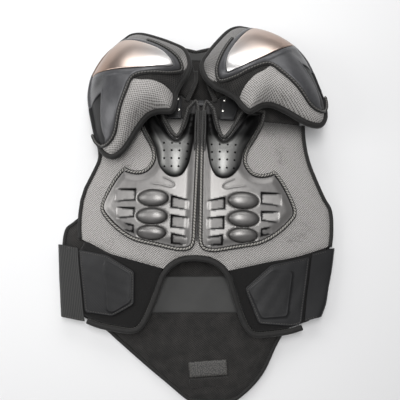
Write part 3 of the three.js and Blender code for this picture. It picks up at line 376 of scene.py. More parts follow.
def drift(line):
    """Back panel points moved by how the tail has slid."""
    line = np.array(line, float)
    line[:, 0] += TAIL_DRIFT * ease(0.62, 0.95, -line[:, 1] / TAIL_REACH) + BACK_SHIFT
    return line


# Knitted polyester spacer mesh, dyed black: a matt face of small round eyelets in slanting rows. The
# eyelets are about 2 mm apart in life and 3.2 mm here, so that they show.
EYELET_PITCH = 3.2
spacer_mesh, tree, shader = new_material("knitted_polyester_spacer_mesh_black", Roughness=0.88, IOR=1.5,
                                         Specular_IOR_Level=0.3, Sheen_Weight=0.12, Sheen_Roughness=0.5)
cut = add_node(tree, "UVMap", uv_map="cut")
turned = add_node(tree, "Mapping", links={"Vector": cut},
                  values={"Scale": (1 / EYELET_PITCH, 1.25 / EYELET_PITCH, 1), "Rotation": (0, 0, 0.9)})
eyelets = add_node(tree, "TexVoronoi", links={"Vector": turned}, values={"Scale": 1.0, "Randomness": 0.0},
                   voronoi_dimensions="2D")
hole_mask = add_node(tree, "ValToRGB", links={0: eyelets}, stops=((0.16, "000000"), (0.42, "FFFFFF")))
fuzz = add_node(tree, "TexNoise", links={"Vector": cut},
                values={"Scale": 0.045, "Detail": 6.0, "Roughness": 0.65})
yarn = add_node(tree, "ValToRGB", links={0: fuzz}, stops=((0.35, "222120"), (0.7, "383634")))
depth = add_node(tree, "Mix", data_type="RGBA", links={0: hole_mask, 7: yarn},
                 values={6: linear("0B0B0B")})
tree.links.new(depth.outputs[2], shader.inputs["Base Color"])
add_node(tree, "Bump", links={"Height": hole_mask}, values={"Strength": 0.6, "Distance": 0.0008},
         to="Normal")

# Folded polyester tape, dyed black: fine cross ribs, a dull sheen and a worn, slightly paler crown.
TAPE_RIB_PITCH = 1.6  # about 0.8 mm in life
binding_tape, tree, shader = new_material("folded_polyester_tape_black", Roughness=0.7, IOR=1.5,
                                          Specular_IOR_Level=0.3, Sheen_Weight=0.1)
cut = add_node(tree, "UVMap", uv_map="cut")
ribs = add_node(tree, "TexWave", links={"Vector": cut},
                values={"Scale": 0.314 / TAPE_RIB_PITCH, "Distortion": 0.6, "Detail": 1.0})
lint = add_node(tree, "TexNoise", links={"Vector": cut},
                values={"Scale": 0.12, "Detail": 5.0, "Roughness": 0.7})
weave = add_node(tree, "Math", operation="MULTIPLY_ADD", links={0: ribs.outputs["Fac"], 2: lint},
                 values={1: 0.5})
add_node(tree, "ValToRGB", links={0: weave}, stops=((0.3, "0F0F0E"), (1.0, "242322")), to="Base Color")
add_node(tree, "Bump", links={"Height": weave}, values={"Strength": 0.5, "Distance": 0.0004}, to="Normal")

# Spun polyester thread: a dull dark grey that stands out from the black tape.
sewing_thread, tree, shader = new_material("spun_polyester_thread", Roughness=0.6)
twist = add_node(tree, "TexNoise", values={"Scale": 900.0, "Detail": 2.0})
add_node(tree, "ValToRGB", links={0: twist}, stops=((0, "35332F"), (1, "6B6862")), to="Base Color")


def sweep(name, line, profile, material, closed=False):
    """A solid drawn along a line of 3-D points. The profile is a closed list of (across, up), or a function
    of the distance travelled that gives one."""
    line = np.asarray(line, float)
    count = len(line)
    if closed:
        along = np.roll(line, -1, 0) - np.roll(line, 1, 0)
    else:
        along = np.gradient(line, axis=0)
    along = unit(along)
    across = unit(np.stack([along[:, 1], -along[:, 0], np.zeros(count)], 1))
    up = np.cross(across, along)
    travel = travelled(line)
    rings, maps = [], []
    for i in range(count):
        ring = np.asarray(profile(travel[i]) if callable(profile) else profile, float)
        rings.append(line[i] + ring[:, :1] * across[i] + ring[:, 1:] * up[i])
        maps.append(np.stack([np.full(len(ring), travel[i]), travelled(ring)], 1))
    sides = len(rings[0])
    faces = []
    for r in range(count if closed else count - 1):
        here, there = r * sides, ((r + 1) % count) * sides
        for s in range(sides):
            t = (s + 1) % sides
            faces.append((here + s, there + s, there + t, here + t))
    if not closed:
        faces.append(tuple(range(sides)))
        faces.append(tuple((count - 1) * sides + s for s in reversed(range(sides))))
    return make_piece(name, np.vstack(rings), faces, material, np.vstack(maps))


def oval(width, height, sides=12, power=1.0):
    """A rounded profile; a power below 1 squares it up."""
    angle = (np.arange(sides) + 0.5) / sides * 2 * np.pi
    c, s = np.cos(angle), np.sin(angle)
    return np.stack([np.sign(c) * np.abs(c) ** power * width / 2,
                     np.sign(s) * np.abs(s) ** power * height / 2], 1)


STITCH_WIDTH = 0.8
STITCH_RISE = 0.5
STITCH = [(-0.5, 0, 0.15), (-0.25, 0.5, 0.8), (0.25, 0.5, 0.8), (0.5, 0, 0.15), (0.25, -0.5, 0.8),
          (-0.25, -0.5, 0.8), (0, 0, 1.0)]  # share of the length, the width and the rise
STITCH_FACES = [(0, 6, 1), (1, 6, 2), (2, 6, 3), (3, 6, 4), (4, 6, 5), (5, 6, 0), (0, 1, 2, 3, 4, 5)]


def sew(name, lines, slot_name, pitch=4.2, length=2.9):
    """A row of separate thread stitches along each line of 3-D points, as one finished piece."""
    points, faces = [], []
    for line in lines:
        line = np.asarray(line, float)
        travel = travelled(line)
        for start in np.arange(pitch * 0.3, travel[-1] - length, pitch):
            a = np.array([np.interp(start, travel, line[:, k]) for k in range(3)])
            b = np.array([np.interp(start + length, travel, line[:, k]) for k in range(3)])
            along = (b - a) / max(np.linalg.norm(b - a), 1e-9)
            across = np.array([along[1], -along[0], 0])
            across /= max(np.linalg.norm(across), 1e-9)
            up = np.cross(across, along)
            first = len(points)
            for s, side, high in STITCH:
                points.append((a + b) / 2 + along * s * length + across * side * STITCH_WIDTH
                              + up * (high - 0.3) * STITCH_RISE)
            faces += [tuple(first + k for k in f) for f in STITCH_FACES]
    on_body(make_piece(name, points, faces, sewing_thread), slot_name)


back_half = trace(place_rows(BACK_EDGE, BACK_HALF_WIDTH, COLLAR_REACH, TAIL_REACH), 5)
back_outline = drift(both_halves(back_half))
back_body = shrink(back_outline, BINDING_WIDTH * 0.55)


def back_top(x, y):
    """The pad's upper face: thin at the tape, full inside, with the sewn channel along the tail."""
    edge = away_from(back_outline, x, y)
    fuller = BACK_THICKNESS - BACK_EDGE_THICKNESS
    full = BACK_EDGE_THICKNESS + fuller * ease(0, 16, edge - BINDING_WIDTH / 2)
    channel = np.exp(-((edge - TAIL_CHANNEL_INSET) / TAIL_CHANNEL_WIDTH) ** 2)
    swell_beside = 0.6 * np.exp(-((edge - 15) / 3.4) ** 2)
    depth = TAIL_CHANNEL_DEPTH * (channel - swell_beside) * ease(TAIL_CHANNEL_FROM, TAIL_CHANNEL_TO, y)
    return full - depth + 0.5 * ripple(x, y, 95, 1) * ease(6, 40, edge)


def back_under(x, y):
    """The pad's lower face, flat on the floor and rounded up to the tape."""
    edge = away_from(back_outline, x, y) - BINDING_WIDTH * 0.55
    return 2.5 * (1 - bulge(edge / BACK_EDGE_ROUND))


back_rows = shrunk(back_outline, 9, 14, 18.5, 21, 23.5)
back_plan = net(back_body, 6.5, rows=[line[::2] for line in back_rows])
back_panel = on_body(pad("back_panel_padded_mesh", back_plan, back_under, back_top, spacer_mesh),
                     "black_mesh", "back_panel")

back_tape_line = at_height(shrink(back_outline, BINDING_WIDTH / 2), BINDING_REST)
back_binding = sweep("back_panel_folded_tape", back_tape_line, oval(BINDING_WIDTH, BINDING_HEIGHT, 14, 0.75),
                     binding_tape, closed=True)
on_body(back_binding, "binding_tape", "back_binding")
stitch_line = at_height(shrink(back_outline, BINDING_WIDTH * 0.8), BINDING_SEAM_REST)
sew("back_panel_tape_stitches", [stitch_line], "binding_tape")

# ----------------------------------------------------------------------
# Waist and collar bands. Smooth woven polyester cloth sewn flat across the inside of the back: one
# seen through the arch at the waist, one along the collar.
BAND_REST = 12.3  # the upper face of the back, and the gap between sewn layers
BAND_THICKNESS = 1.5
BAND_ROUND = 2.5  # how far in its edge is rounded
WAIST_BAND = [(-150, -188), (150, -188), (150, -127), (-150, -127)]
COLLAR_BAND = [(-0.34, 0.885), (0.34, 0.885), (0.34, 0.905), (0.16, 0.95), (0, 0.935), (-0.16, 0.95),
               (-0.34, 0.905), (-0.34, 0.885)]

# Plain-woven polyester lining, dyed black: smoother than the mesh, with a faint satin bloom.
lining_cloth, tree, shader = new_material("woven_polyester_lining_black", Roughness=0.62, IOR=1.5,
                                          Sheen_Weight=0.12)
cut = add_node(tree, "UVMap", uv_map="cut")
folds = add_node(tree, "TexNoise", links={"Vector": cut}, values={"Scale": 0.03, "Detail": 4.0})
add_node(tree, "ValToRGB", links={0: folds}, stops=((0, "1F1F1E"), (1, "30302E")), to="Base Color")
threads = add_node(tree, "TexWave", links={"Vector": cut}, values={"Scale": 0.25, "Distortion": 1.0},
                   bands_direction="DIAGONAL")
add_node(tree, "Bump", links={"Height": threads.outputs["Fac"]},
         values={"Strength": 0.25, "Distance": 0.0003}, to="Normal")

waist_outline = trace(WAIST_BAND + WAIST_BAND[:1], 6, corners=(1, 2, 3))[:-1] + [BACK_SHIFT, 0]
collar_points = [(x * BACK_HALF_WIDTH + BACK_SHIFT, y * COLLAR_REACH) for x, y in COLLAR_BAND]
collar_outline = trace(collar_points, 6, corners=(1, 2, 6))[:-1]


def band(name, outline, node):
    """A flat band of cloth that lies on the back panel, its long edges turned under."""
    def top(x, y):
        edge = away_from(outline, x, y)
        lie = np.maximum(back_top(x, y), BACK_THICKNESS - 0.4)
        return lie + BAND_THICKNESS * (0.25 + 0.75 * bulge(edge / BAND_ROUND)) + 0.25 * ripple(x, y, 41, 3)

    plan = net(outline, 5, rows=shrunk(outline, 0.8, 2.5))
    made = pad(name, plan, lambda x, y: top(x, y) - BAND_THICKNESS, top, lining_cloth)
    return on_body(made, "coated_webbing" if node == "inner_waist_band" else "binding_tape", node)


waist_band = band("waist_band_cloth", waist_outline, "inner_waist_band")
band("collar_band_cloth", collar_outline, "collar_band")

# ----------------------------------------------------------------------
# Tail patch. A pressed rectangle of hook tape sewn to the tail, with a bevelled lip of foam-backed
# mesh below it. Both are tilted a little, as the tail has slid.
PATCH_WIDTH = 64
PATCH_HEIGHT = 25
PATCH_RISE = 2.5
PATCH_CENTRE = -0.834 * TAIL_REACH
PATCH_TURN = math.radians(4)
LIP_HEIGHT = 14
LIP_GAP = 2

# Moulded nylon hook tape: dark grey, speckled with the tips of its hooks, with a hard dry glint.
hook_tape, tree, shader = new_material("moulded_nylon_hook_tape_grey", Roughness=0.55, IOR=1.53)
cut = add_node(tree, "UVMap", uv_map="cut")
hooks = add_node(tree, "TexVoronoi", links={"Vector": cut}, values={"Scale": 0.42, "Randomness": 0.85},
                 voronoi_dimensions="2D")
hook_tone = add_node(tree, "ValToRGB", links={0: hooks}, stops=((0.1, "52504C"), (0.5, "1F1E1D")),
                     to="Base Color")
add_node(tree, "Bump", links={"Height": hook_tone}, values={"Strength": 0.8, "Distance": 0.0008},
         to="Normal")


def swung(body, angle):
    """Points turned about the upright axis: their x and y."""
    c, s = math.cos(angle), math.sin(angle)
    return body[:, 0] * c - body[:, 1] * s, body[:, 0] * s + body[:, 1] * c


def on_tail(body):
    """Points of the patch's own frame, set on the tail."""
    centre = drift([(0, PATCH_CENTRE)])[0] + [1, 0]
    x, y = swung(body, PATCH_TURN)
    return np.column_stack([x + centre[0], y + centre[1], body[:, 2] + BAND_REST - 0.3])


def rounded_box(width, low, high, radius, step=3):
    """The outline of a rectangle with round corners, from y = low to y = high."""
    half = width / 2
    points = []
    for cx, cy, start in ((half - radius, high - radius, 0), (radius - half, high - radius, 90),
                          (radius - half, low + radius, 180), (half - radius, low + radius, 270)):
        for angle in np.radians(np.arange(start, start + 91, 22.5)):
            points.append((cx + radius * math.cos(angle), cy + radius * math.sin(angle)))
    return trace(points + points[:1], step, corners=range(1, len(points)))[:-1]


patch_outline = rounded_box(PATCH_WIDTH, -PATCH_HEIGHT / 2, PATCH_HEIGHT / 2, 3)
patch_plan = net(patch_outline, 3, rows=shrunk(patch_outline, 0.6, 1.8))
patch = pad("tail_patch_hook_tape", patch_plan, lambda x, y: 0 * x,
            lambda x, y: PATCH_RISE * (0.2 + 0.8 * bulge(away_from(patch_outline, x, y) / 1.8)), hook_tape,
            on_tail)
on_body(patch, "black_mesh", "tail_patch")
LIP_TOP = -PATCH_HEIGHT / 2 - LIP_GAP
lip_outline = rounded_box(PATCH_WIDTH, LIP_TOP - LIP_HEIGHT, LIP_TOP, 2)
lip_plan = net(lip_outline, 3, rows=shrunk(lip_outline, 0.5, 1.6))
lip = pad("tail_patch_bevelled_lip", lip_plan, lambda x, y: 0 * x,
          lambda x, y: (PATCH_RISE - 0.1) * bulge(away_from(lip_outline, x, y) / 1.6)
          * np.clip(1 - (LIP_TOP - y) / LIP_HEIGHT, 0.08, 1), spacer_mesh, on_tail)
on_body(lip, "black_mesh", "tail_patch_lip")
patch_stitch = at_height(shrink(patch_outline, 3.4), PATCH_RISE + 0.1)
sew("tail_patch_stitches", [on_tail(patch_stitch)], "black_mesh", pitch=3.6, length=2.4)

# ----------------------------------------------------------------------
# Front panel. A domed sheet of grey air mesh over thin foam, from the yoke down to the arch and the
# belt panels. Its side edges are bound with folded tape and lie on the back.
FRONT_HALF_WIDTH = 229
FRONT_REACH = 184
HEM_REACH = 117
FRONT_THICKNESS = 7
FRONT_EDGE_PULL = 2.2  # how far its face is pulled down at the seams
FRONT_EDGE_REACH = 9
FRONT_SHADE_REACH = 36  # below the yoke line
CHEST_RISE = 34
HEM_LIFT = 0.3
NECK_LIFT = 0.7
LOOP_REACH = 214
FRONT_TURN = math.radians(-1.7)
FRONT_SHIFT = -3
YOKE_LINE = 142
SIDE_TUCK = 27  # how far in the left side lies at the waist
SIDE_TUCK_HIGH = 18  # and at the ribs
HEM_EDGE = [(0, -0.795), (0.09, -0.81), (0.16, -0.865), (0.21, -0.94), (0.235, -1), (0.35, -0.945),
            (0.53, -0.86), (0.73, -0.775), (0.945, -0.635), (0.985, -0.6)]
HEM_CORNER = 4
SIDE_EDGE = [(1, -0.38), (0.995, -0.08), (0.935, 0.08), (0.83, 0.375), (0.79, 0.6), (0.785, 0.77)]


def tuck(out, y):
    """How far the left side is pulled in, at a distance from the centre line and a height."""
    amount = SIDE_TUCK - (SIDE_TUCK - SIDE_TUCK_HIGH) * ease(-0.13 * HEM_REACH, 0.11 * FRONT_REACH, y)
    from_hem = ease(-0.98 * HEM_REACH, -0.615 * HEM_REACH, y)
    below_cup = 1 - ease(0.33 * FRONT_REACH, 0.68 * FRONT_REACH, y)
    return amount * from_hem * below_cup * ease(0.48 * FRONT_HALF_WIDTH, 0.83 * FRONT_HALF_WIDTH, out)


def tucked(line):
    """Points of the front with those of its left side pulled in."""
    line = np.array(line, float)
    line[:, 0] += tuck(-line[:, 0], line[:, 1])
    return line


def front_lower(x, y):
    """The underside of the front: domed across, low at the hem and lower again at the neck."""
    out = np.where(x < 0, -x + tuck(-x + tuck(FRONT_HALF_WIDTH, y), y), x)
    across = 1 - np.minimum(1, out / FRONT_HALF_WIDTH) ** 2.4
    along = (HEM_LIFT + (1 - HEM_LIFT) * ease(-LOOP_REACH, 0.1 * FRONT_REACH, y)
             - (1 - NECK_LIFT) * ease(0.6 * FRONT_REACH, 1.1 * FRONT_REACH, y))
    return BAND_REST + CHEST_RISE * across * along


def front_top(x, y):
    return front_lower(x, y) + FRONT_THICKNESS


def on_front(body):
    """Points of the front's own frame, turned and shifted as the front lies."""
    body = np.asarray(body, float)
    x, y = swung(body, FRONT_TURN)
    return np.column_stack([x + FRONT_SHIFT, y, body[:, 2]])


def to_front(x, y):
    """World points in the front's own frame."""
    c, s = math.cos(FRONT_TURN), math.sin(FRONT_TURN)
    return (x - FRONT_SHIFT) * c + y * s, -(x - FRONT_SHIFT) * s + y * c


front_rows = place_rows(HEM_EDGE + SIDE_EDGE, FRONT_HALF_WIDTH, FRONT_REACH, HEM_REACH) + [(0, YOKE_LINE)]
front_corners = (HEM_CORNER, len(HEM_EDGE) - 1, len(front_rows) - 2)
front_half = trace(front_rows, 5, front_corners)
front_outline = tucked(both_halves(front_half))


def painted_shade_and_dye(tree, shader, colour, dark):
    """The base colour: it turns to a dark one where a piece's crease value says so: painted shade, and on the
    shoulder cords a darker dye.
    """
    crease = add_node(tree, "Attribute", attribute_name="crease")
    mixed = add_node(tree, "Mix", data_type="RGBA",
                     links={0: crease.outputs["Fac"], 6: colour}, values={7: linear(dark)})
    tree.links.new(mixed.outputs[2], shader.inputs["Base Color"])


# Polyester air mesh over foam, grey yarn on a black ground: a light twill of raised yarns that climb
# to the right, with dark eyelets between. The twill is 1.8 mm apart in life and 2.6 mm here.
TWILL_PITCH = 2.6
air_mesh, tree, shader = new_material("knitted_polyester_air_mesh_grey", Roughness=0.8, IOR=1.5,
                                      Sheen_Weight=0.15, Sheen_Roughness=0.5)
cut = add_node(tree, "UVMap", uv_map="cut")
twill_turn = add_node(tree, "Mapping", links={"Vector": cut},
                      values={"Rotation": (0, 0, math.radians(-55)), "Scale": (1 / 3.2, 1 / TWILL_PITCH, 1)})
eyelets = add_node(tree, "TexVoronoi", links={"Vector": twill_turn},
                   values={"Scale": 1.0, "Randomness": 0.12}, voronoi_dimensions="2D")
raised = add_node(tree, "ValToRGB", links={0: eyelets}, stops=((0.14, "000000"), (0.5, "FFFFFF")))
melange = add_node(tree, "TexNoise", links={"Vector": cut},
                   values={"Scale": 0.35, "Detail": 3.0, "Roughness": 0.7})
patchy = add_node(tree, "TexNoise", links={"Vector": cut}, values={"Scale": 0.02, "Detail": 2.0})
tone = add_node(tree, "Math", operation="MULTIPLY_ADD", links={0: melange, 2: patchy}, values={1: 1.2})
yarn = add_node(tree, "ValToRGB", links={0: tone}, stops=((0.8, "868380"), (1.3, "B2AFAC")))
depth = add_node(tree, "Mix", data_type="RGBA", links={0: raised, 7: yarn}, values={6: linear("4A4845")})
# Painted shade where a piece's crease value says so.
painted_shade_and_dye(tree, shader, depth.outputs[2], "121211")
add_node(tree, "Bump", links={"Height": raised}, values={"Strength": 0.7, "Distance": 0.0008}, to="Normal")


def front_face(x, y):
    """The mesh face: pulled down at its seams, and a little uneven between them."""
    edge = away_from(front_outline, x, y)
    pulled = FRONT_EDGE_PULL * (1 - ease(0, FRONT_EDGE_REACH, edge))
    return front_top(x, y) - pulled + 0.35 * ripple(x, y, 88, 2) * ease(5, 30, edge)


def in_front(piece):
    """Where each point of a piece lies in the front's own frame."""
    at = np.array([v.co[:] for v in piece.data.vertices]) * METRE
    return to_front(at[:, 0], at[:, 1])


def add_shade_and_dye(piece, values):
    """How dark each point is, for the material: painted shade in grooves and shadows, and on the shoulder cords
    a darker dye.
    """
    layer = piece.data.attributes.new("crease", "FLOAT", "POINT")
    layer.data.foreach_set("value", np.clip(values, 0, 1).astype(np.float32))


front_plan = net(front_outline, 5, rows=shrunk(front_outline, 1.5, 4, 8))
front_panel = pad("front_panel_air_mesh", front_plan, front_lower, front_face, air_mesh, on_front)
# Painted shade: the mesh darkens under the cups, where their shadow falls.
add_shade_and_dye(front_panel, 0.85 * (1 - ease(0, FRONT_SHADE_REACH, YOKE_LINE - in_front(front_panel)[1])))
on_body(front_panel, "grey_mesh", "front_panel")

side_first = int(np.argmin(np.hypot(*(front_half - front_rows[len(HEM_EDGE) - 1]).T)))
side_last = int(np.argmin(np.hypot(*(front_half - front_rows[-2]).T)))
side_line = front_half[side_first:side_last + 1]


def beside(line, distance):
    """An open line moved to its right-hand side."""
    along = unit(np.gradient(np.asarray(line, float), axis=0))
    return line + np.stack([along[:, 1], -along[:, 0]], 1) * distance


SIDE_TAPE_HEIGHT = 7.4
SIDES = [(-1, "left"), (1, "right")]
for side, word in SIDES:
    edge = tucked(side_line * [side, 1])
    edge_line = edge * [side, 1]
    tape = beside(edge_line, BINDING_WIDTH / 2 - 0.6)
    tape = at_height(tape * [side, 1], front_lower(*edge.T) + 3.2)
    made = sweep(f"side_folded_tape_{word}", on_front(tape), oval(BINDING_WIDTH, SIDE_TAPE_HEIGHT, 14, 0.75),
                 binding_tape)
    on_body(made, "binding_tape", f"side_binding_{word}")
    seam = beside(edge_line, -1.2) * [side, 1]
    seam = at_height(seam, front_face(*seam.T) + 0.3)
    sew(f"side_tape_stitches_{word}", [on_front(seam)], "binding_tape")

# ----------------------------------------------------------------------
# Yoke. The padded top of the front, of the same black mesh as the back, which the straps and the chest
# plates are sewn over.
YOKE_EDGE = [(0, 0.7734), (0.77, 0.7734), (0.76, 0.82), (0.62, 0.91), (0.45, 1), (0.3, 1.07), (0.2, 1.05),
             (0.1, 0.985), (0, 0.975)]
YOKE_EDGE_PULL = 3.5
YOKE_EDGE_REACH = 6
yoke_half = trace(place_rows(YOKE_EDGE, FRONT_HALF_WIDTH, FRONT_REACH, 1), 5, corners=(1, 5))
yoke_outline = both_halves(yoke_half)


def yoke_face(x, y):
    edge = away_from(yoke_outline, x, y)
    return front_top(x, y) - YOKE_EDGE_PULL * (1 - bulge(edge / YOKE_EDGE_REACH)) + 0.3 * ripple(x, y, 52, 4)


yoke_plan = net(yoke_outline, 5, rows=shrunk(yoke_outline, 0.7, 2, 4.5))
yoke = pad("yoke_padded_cloth", yoke_plan, front_lower, yoke_face, spacer_mesh, on_front)
on_body(yoke, "binding_tape", "yoke")

# ----------------------------------------------------------------------
# Hook-and-loop panels. The black hem each side of the arch, faced with brushed loop pile that the
# belt tabs stick to, and edged with a thick rolled tape round the arch.
LOOP_THICKNESS = 4
LOOP_ROUND = 4
LOOP_EDGE = [(0.9, -0.79), (0.83, -0.91), (0.68, -0.965), (0.53, -0.99), (0.44, -0.995), (0.39, -0.95),
             (0.335, -0.82), (0.265, -0.6)]
ARCH_WIDTH = 9
ARCH_END = 178

# Brushed nylon loop pile: nearly black, furry, with a soft bloom where it turns from the eye.
loop_pile, tree, shader = new_material("brushed_nylon_loop_pile_black", Roughness=0.95, IOR=1.5,
                                       Sheen_Weight=0.12, Sheen_Roughness=0.6, Specular_IOR_Level=0.2)
cut = add_node(tree, "UVMap", uv_map="cut")
tufts = add_node(tree, "TexNoise", links={"Vector": cut},
                 values={"Scale": 0.5, "Detail": 6.0, "Roughness": 0.75})
add_node(tree, "ValToRGB", links={0: tufts}, stops=((0.35, "0B0A0A"), (0.75, "191817")), to="Base Color")
add_node(tree, "Bump", links={"Height": tufts}, values={"Strength": 0.9, "Distance": 0.0012}, to="Normal")

loop_rows = place_rows(LOOP_EDGE, FRONT_HALF_WIDTH, FRONT_REACH, LOOP_REACH)
hem_first = int(np.argmin(np.hypot(*(front_half - front_rows[HEM_CORNER]).T)))
hem_line = front_half[hem_first:side_first + 1] - [0, 0.6]
hem_line[0] += (3, -0.3)
hem_line[-1] += (-4, -1.5)
loop_lower_edge = trace([hem_line[-1]] + loop_rows + [hem_line[0]], 5, corners=(1, 2, len(loop_rows) + 1))
loop_outline = np.vstack([hem_line, loop_lower_edge[1:-1]])


def loop_face(x, y):
    edge = away_from(loop_edge, x, y)
    pile = LOOP_THICKNESS * (0.3 + 0.7 * bulge(edge / LOOP_ROUND))
    return front_lower(x, y) + pile + 0.35 * ripple(x, y, 46, 5)


loop_plan = net(loop_outline, 5, rows=shrunk(loop_outline, 1, 3))

def flipped(plan, side):
    """A plan of points and triangles, on the right or mirrored to the left."""
    return plan[0] * [side, 1], plan[1][:, ::side]


for side, word in SIDES:
    points, faces = flipped(loop_plan, side)
    loop_edge = tucked(loop_outline * [side, 1])
    made = pad(f"loop_panel_pile_{word}", (tucked(points), faces), front_lower, loop_face, loop_pile,
               on_front)
    on_body(made, "loop_pile", f"loop_panel_{word}")

arch_rows = np.vstack([front_rows[:HEM_CORNER + 1], loop_rows[1:][::-1]])
arch_half = trace(arch_rows, 4)
arch_half = arch_half[arch_half[:, 0] < ARCH_END]
arch_half = beside(arch_half, ARCH_WIDTH / 2 + 1.0)
arch_half[0, 0] = 0
arch_line = np.vstack([mirror(arch_half), arch_half[1:]])
arch_line = at_height(arch_line, front_lower(*arch_line.T) + ARCH_WIDTH / 2 - 0.4)
arch_tape = sweep("arch_rolled_tape", on_front(arch_line), oval(ARCH_WIDTH, ARCH_WIDTH, 16, 0.85),
                  binding_tape)
on_body(arch_tape, "binding_tape", "arch_binding")
arch_seam = beside(arch_half, -ARCH_WIDTH / 2 - 0.2)[26:]
arch_seam = [at_height(arch_seam * [side, 1], front_lower(*arch_seam.T) + 4.9) for side, _ in SIDES]
sew("arch_tape_stitches", [on_front(line) for line in arch_seam], "binding_tape")
hem_seam = [tucked(beside(front_half[hem_first + 2:side_first - 1], -2.2) * [side, 1]) for side, _ in SIDES]
hem_seam = [at_height(line, front_face(*line.T) + 0.4) for line in hem_seam]
sew("hem_seam_stitches", [on_front(line) for line in hem_seam], "grey_mesh")

# ----------------------------------------------------------------------
# Shoulder straps. Black spacer mesh from the yoke back to the shoulders, each with a flat tape along
# its neck side. The straps leave the domed front and drop to the back panel.
STRAP_HALF_WIDTH = 180
STRAP_PADDING = 7
STRAP_ROUND = 7
STRAP_FALL = 190  # where the strap starts to drop to the back
STRAP_REST = 252  # and where it lies on it
STRAP_EDGE = [(0.15, 0.6), (0.26, 0.638), (0.38, 0.662), (0.42, 0.72), (0.42, 0.8), (0.38, 0.865),
              (0.12, 0.875), (0.075, 0.8), (0.055, 0.735), (0.08, 0.67), (0.15, 0.6)]
NECK_TAPE = [(0.068, 0.8), (0.06, 0.73), (0.085, 0.655), (0.14, 0.57)]
NECK_TAPE_WIDTH = 8
NECK_TAPE_HEIGHT = 2.5

strap_rows = place_rows(STRAP_EDGE, STRAP_HALF_WIDTH, COLLAR_REACH, 1)
strap_outline = trace(strap_rows, 5, corners=(2, 5, 6))[:-1]


def strap_lower(x, y):
    return BAND_REST + (front_lower(x, y) - BAND_REST) * (1 - ease(STRAP_FALL, STRAP_REST, y))


def strap_face(x, y):
    edge = away_from(strap_outline, np.abs(x), y)
    padding = STRAP_PADDING * (0.35 + 0.65 * bulge(edge / STRAP_ROUND))
    return strap_lower(x, y) + padding + 0.3 * ripple(x, y, 37, 6)


strap_plan = net(strap_outline, 4.5, rows=shrunk(strap_outline, 0.8, 2.4, 5))
for side, word in SIDES:
    made = pad(f"shoulder_strap_padded_mesh_{word}", flipped(strap_plan, side), strap_lower, strap_face,
               spacer_mesh, on_front)
    on_body(made, "black_mesh", f"shoulder_strap_{word}")
    tape = trace(place_rows(NECK_TAPE, STRAP_HALF_WIDTH, COLLAR_REACH, 1), 3)
    rest = np.maximum(strap_lower(*tape.T) + STRAP_PADDING,
                      np.where(tape[:, 1] > STRAP_FALL, 0, front_top(*tape.T)))
    tape = at_height(tape * [side, 1], rest + NECK_TAPE_HEIGHT / 2 + 0.4)
    flat_tape = oval(NECK_TAPE_WIDTH, NECK_TAPE_HEIGHT, 14, 0.6)
    made = sweep(f"neck_flat_tape_{word}", on_front(tape), flat_tape, binding_tape)
    on_body(made, "binding_tape", f"neck_binding_{word}")
    seams = [beside(tape[:, :2], reach) for reach in (-2.8, 2.8)]
    seams = [on_front(at_height(seam, tape[:, 2] + 1.1)) for seam in seams]
    sew(f"neck_tape_stitches_{word}", seams, "binding_tape", pitch=3.8)

# ----------------------------------------------------------------------
# Chest plates. Foam pressed between hot moulds and sprayed satin silver-grey: three oval domes, six
# louvres whose floors climb to the face, a raised chevron, and a V notch at the top.
PLATE_REACH = 167
PLATE_ABOVE = 165
PLATE_BELOW = 88
PLATE_THICKNESS = 6
PLATE_GAP = 10
PLATE_SEAT = 0.9
PIPING_WIDTH = 7
PIPING_HEIGHT = 5
PIPING_PARTING = 1.8  # centre line to the two pipings that run side by side
INNER = (PIPING_PARTING - PLATE_GAP) / (PLATE_REACH - PLATE_GAP)
PLATE_EDGE = [
    (INNER, -0.72), (INNER + 0.009, -0.845), (INNER + 0.038, -0.94), (INNER + 0.092, -0.99),
    (INNER + 0.172, -1), (0.178, -0.989), (0.369, -0.92), (0.605, -0.83), (0.796, -0.636),
    (0.955, -0.364), (1, -0.193), (0.968, 0.012), (0.86, 0.206), (0.752, 0.327), (0.713, 0.303),
    (0.611, 0.279), (0.516, 0.303), (0.452, 0.4), (0.471, 0.515), (0.561, 0.667), (0.637, 0.818),
    (0.675, 0.988), (0.42, 0.988), (0.306, 0.83), (0.197, 0.679), (0.134, 0.83), (0.102, 0.988),
    (INNER, 0.988), (INNER, -0.72),
]
PLATE_CORNERS = (20, 21, 23, 25, 26)
DOME_LENGTH = 50
DOME_WIDTH = 27
DOME_RISE = 7
DOMES = [(0.413, -0.023, 1, 1), (0.418, -0.364, 1, 0.96), (0.417, -0.672, 0.94, 0.87)]  # out, up, long, wide
LOUVRE_DEPTH = 4.2
LOUVRE_WALL = 2.2  # how far the walls lean at the deep end
LOUVRE_WALL_END = 0.7  # and at the other
LOUVRES = [  # deep end: share out, share up, width; then the same where the floor meets the face
    (0.2236, -0.076, 20.9, 0.03, -0.145, 16.5), (0.2185, -0.445, 21.4, 0.03, -0.481, 18.5),
    (0.2076, -0.765, 17, 0.045, -0.805, 13.5), (0.602, 0.044, 19.5, 0.83, 0.027, 22),
    (0.607, -0.298, 15.6, 0.805, -0.305, 18.6), (0.608, -0.605, 12, 0.72, -0.56, 12),
]
CHEVRON = [(58, 33), (46, 27.5), (41.5, 23.5), (40, 19.5), (43, 17), (48, 16.8), (60, 19.5), (76, 22)]
CHEVRON_RISE = 0.9
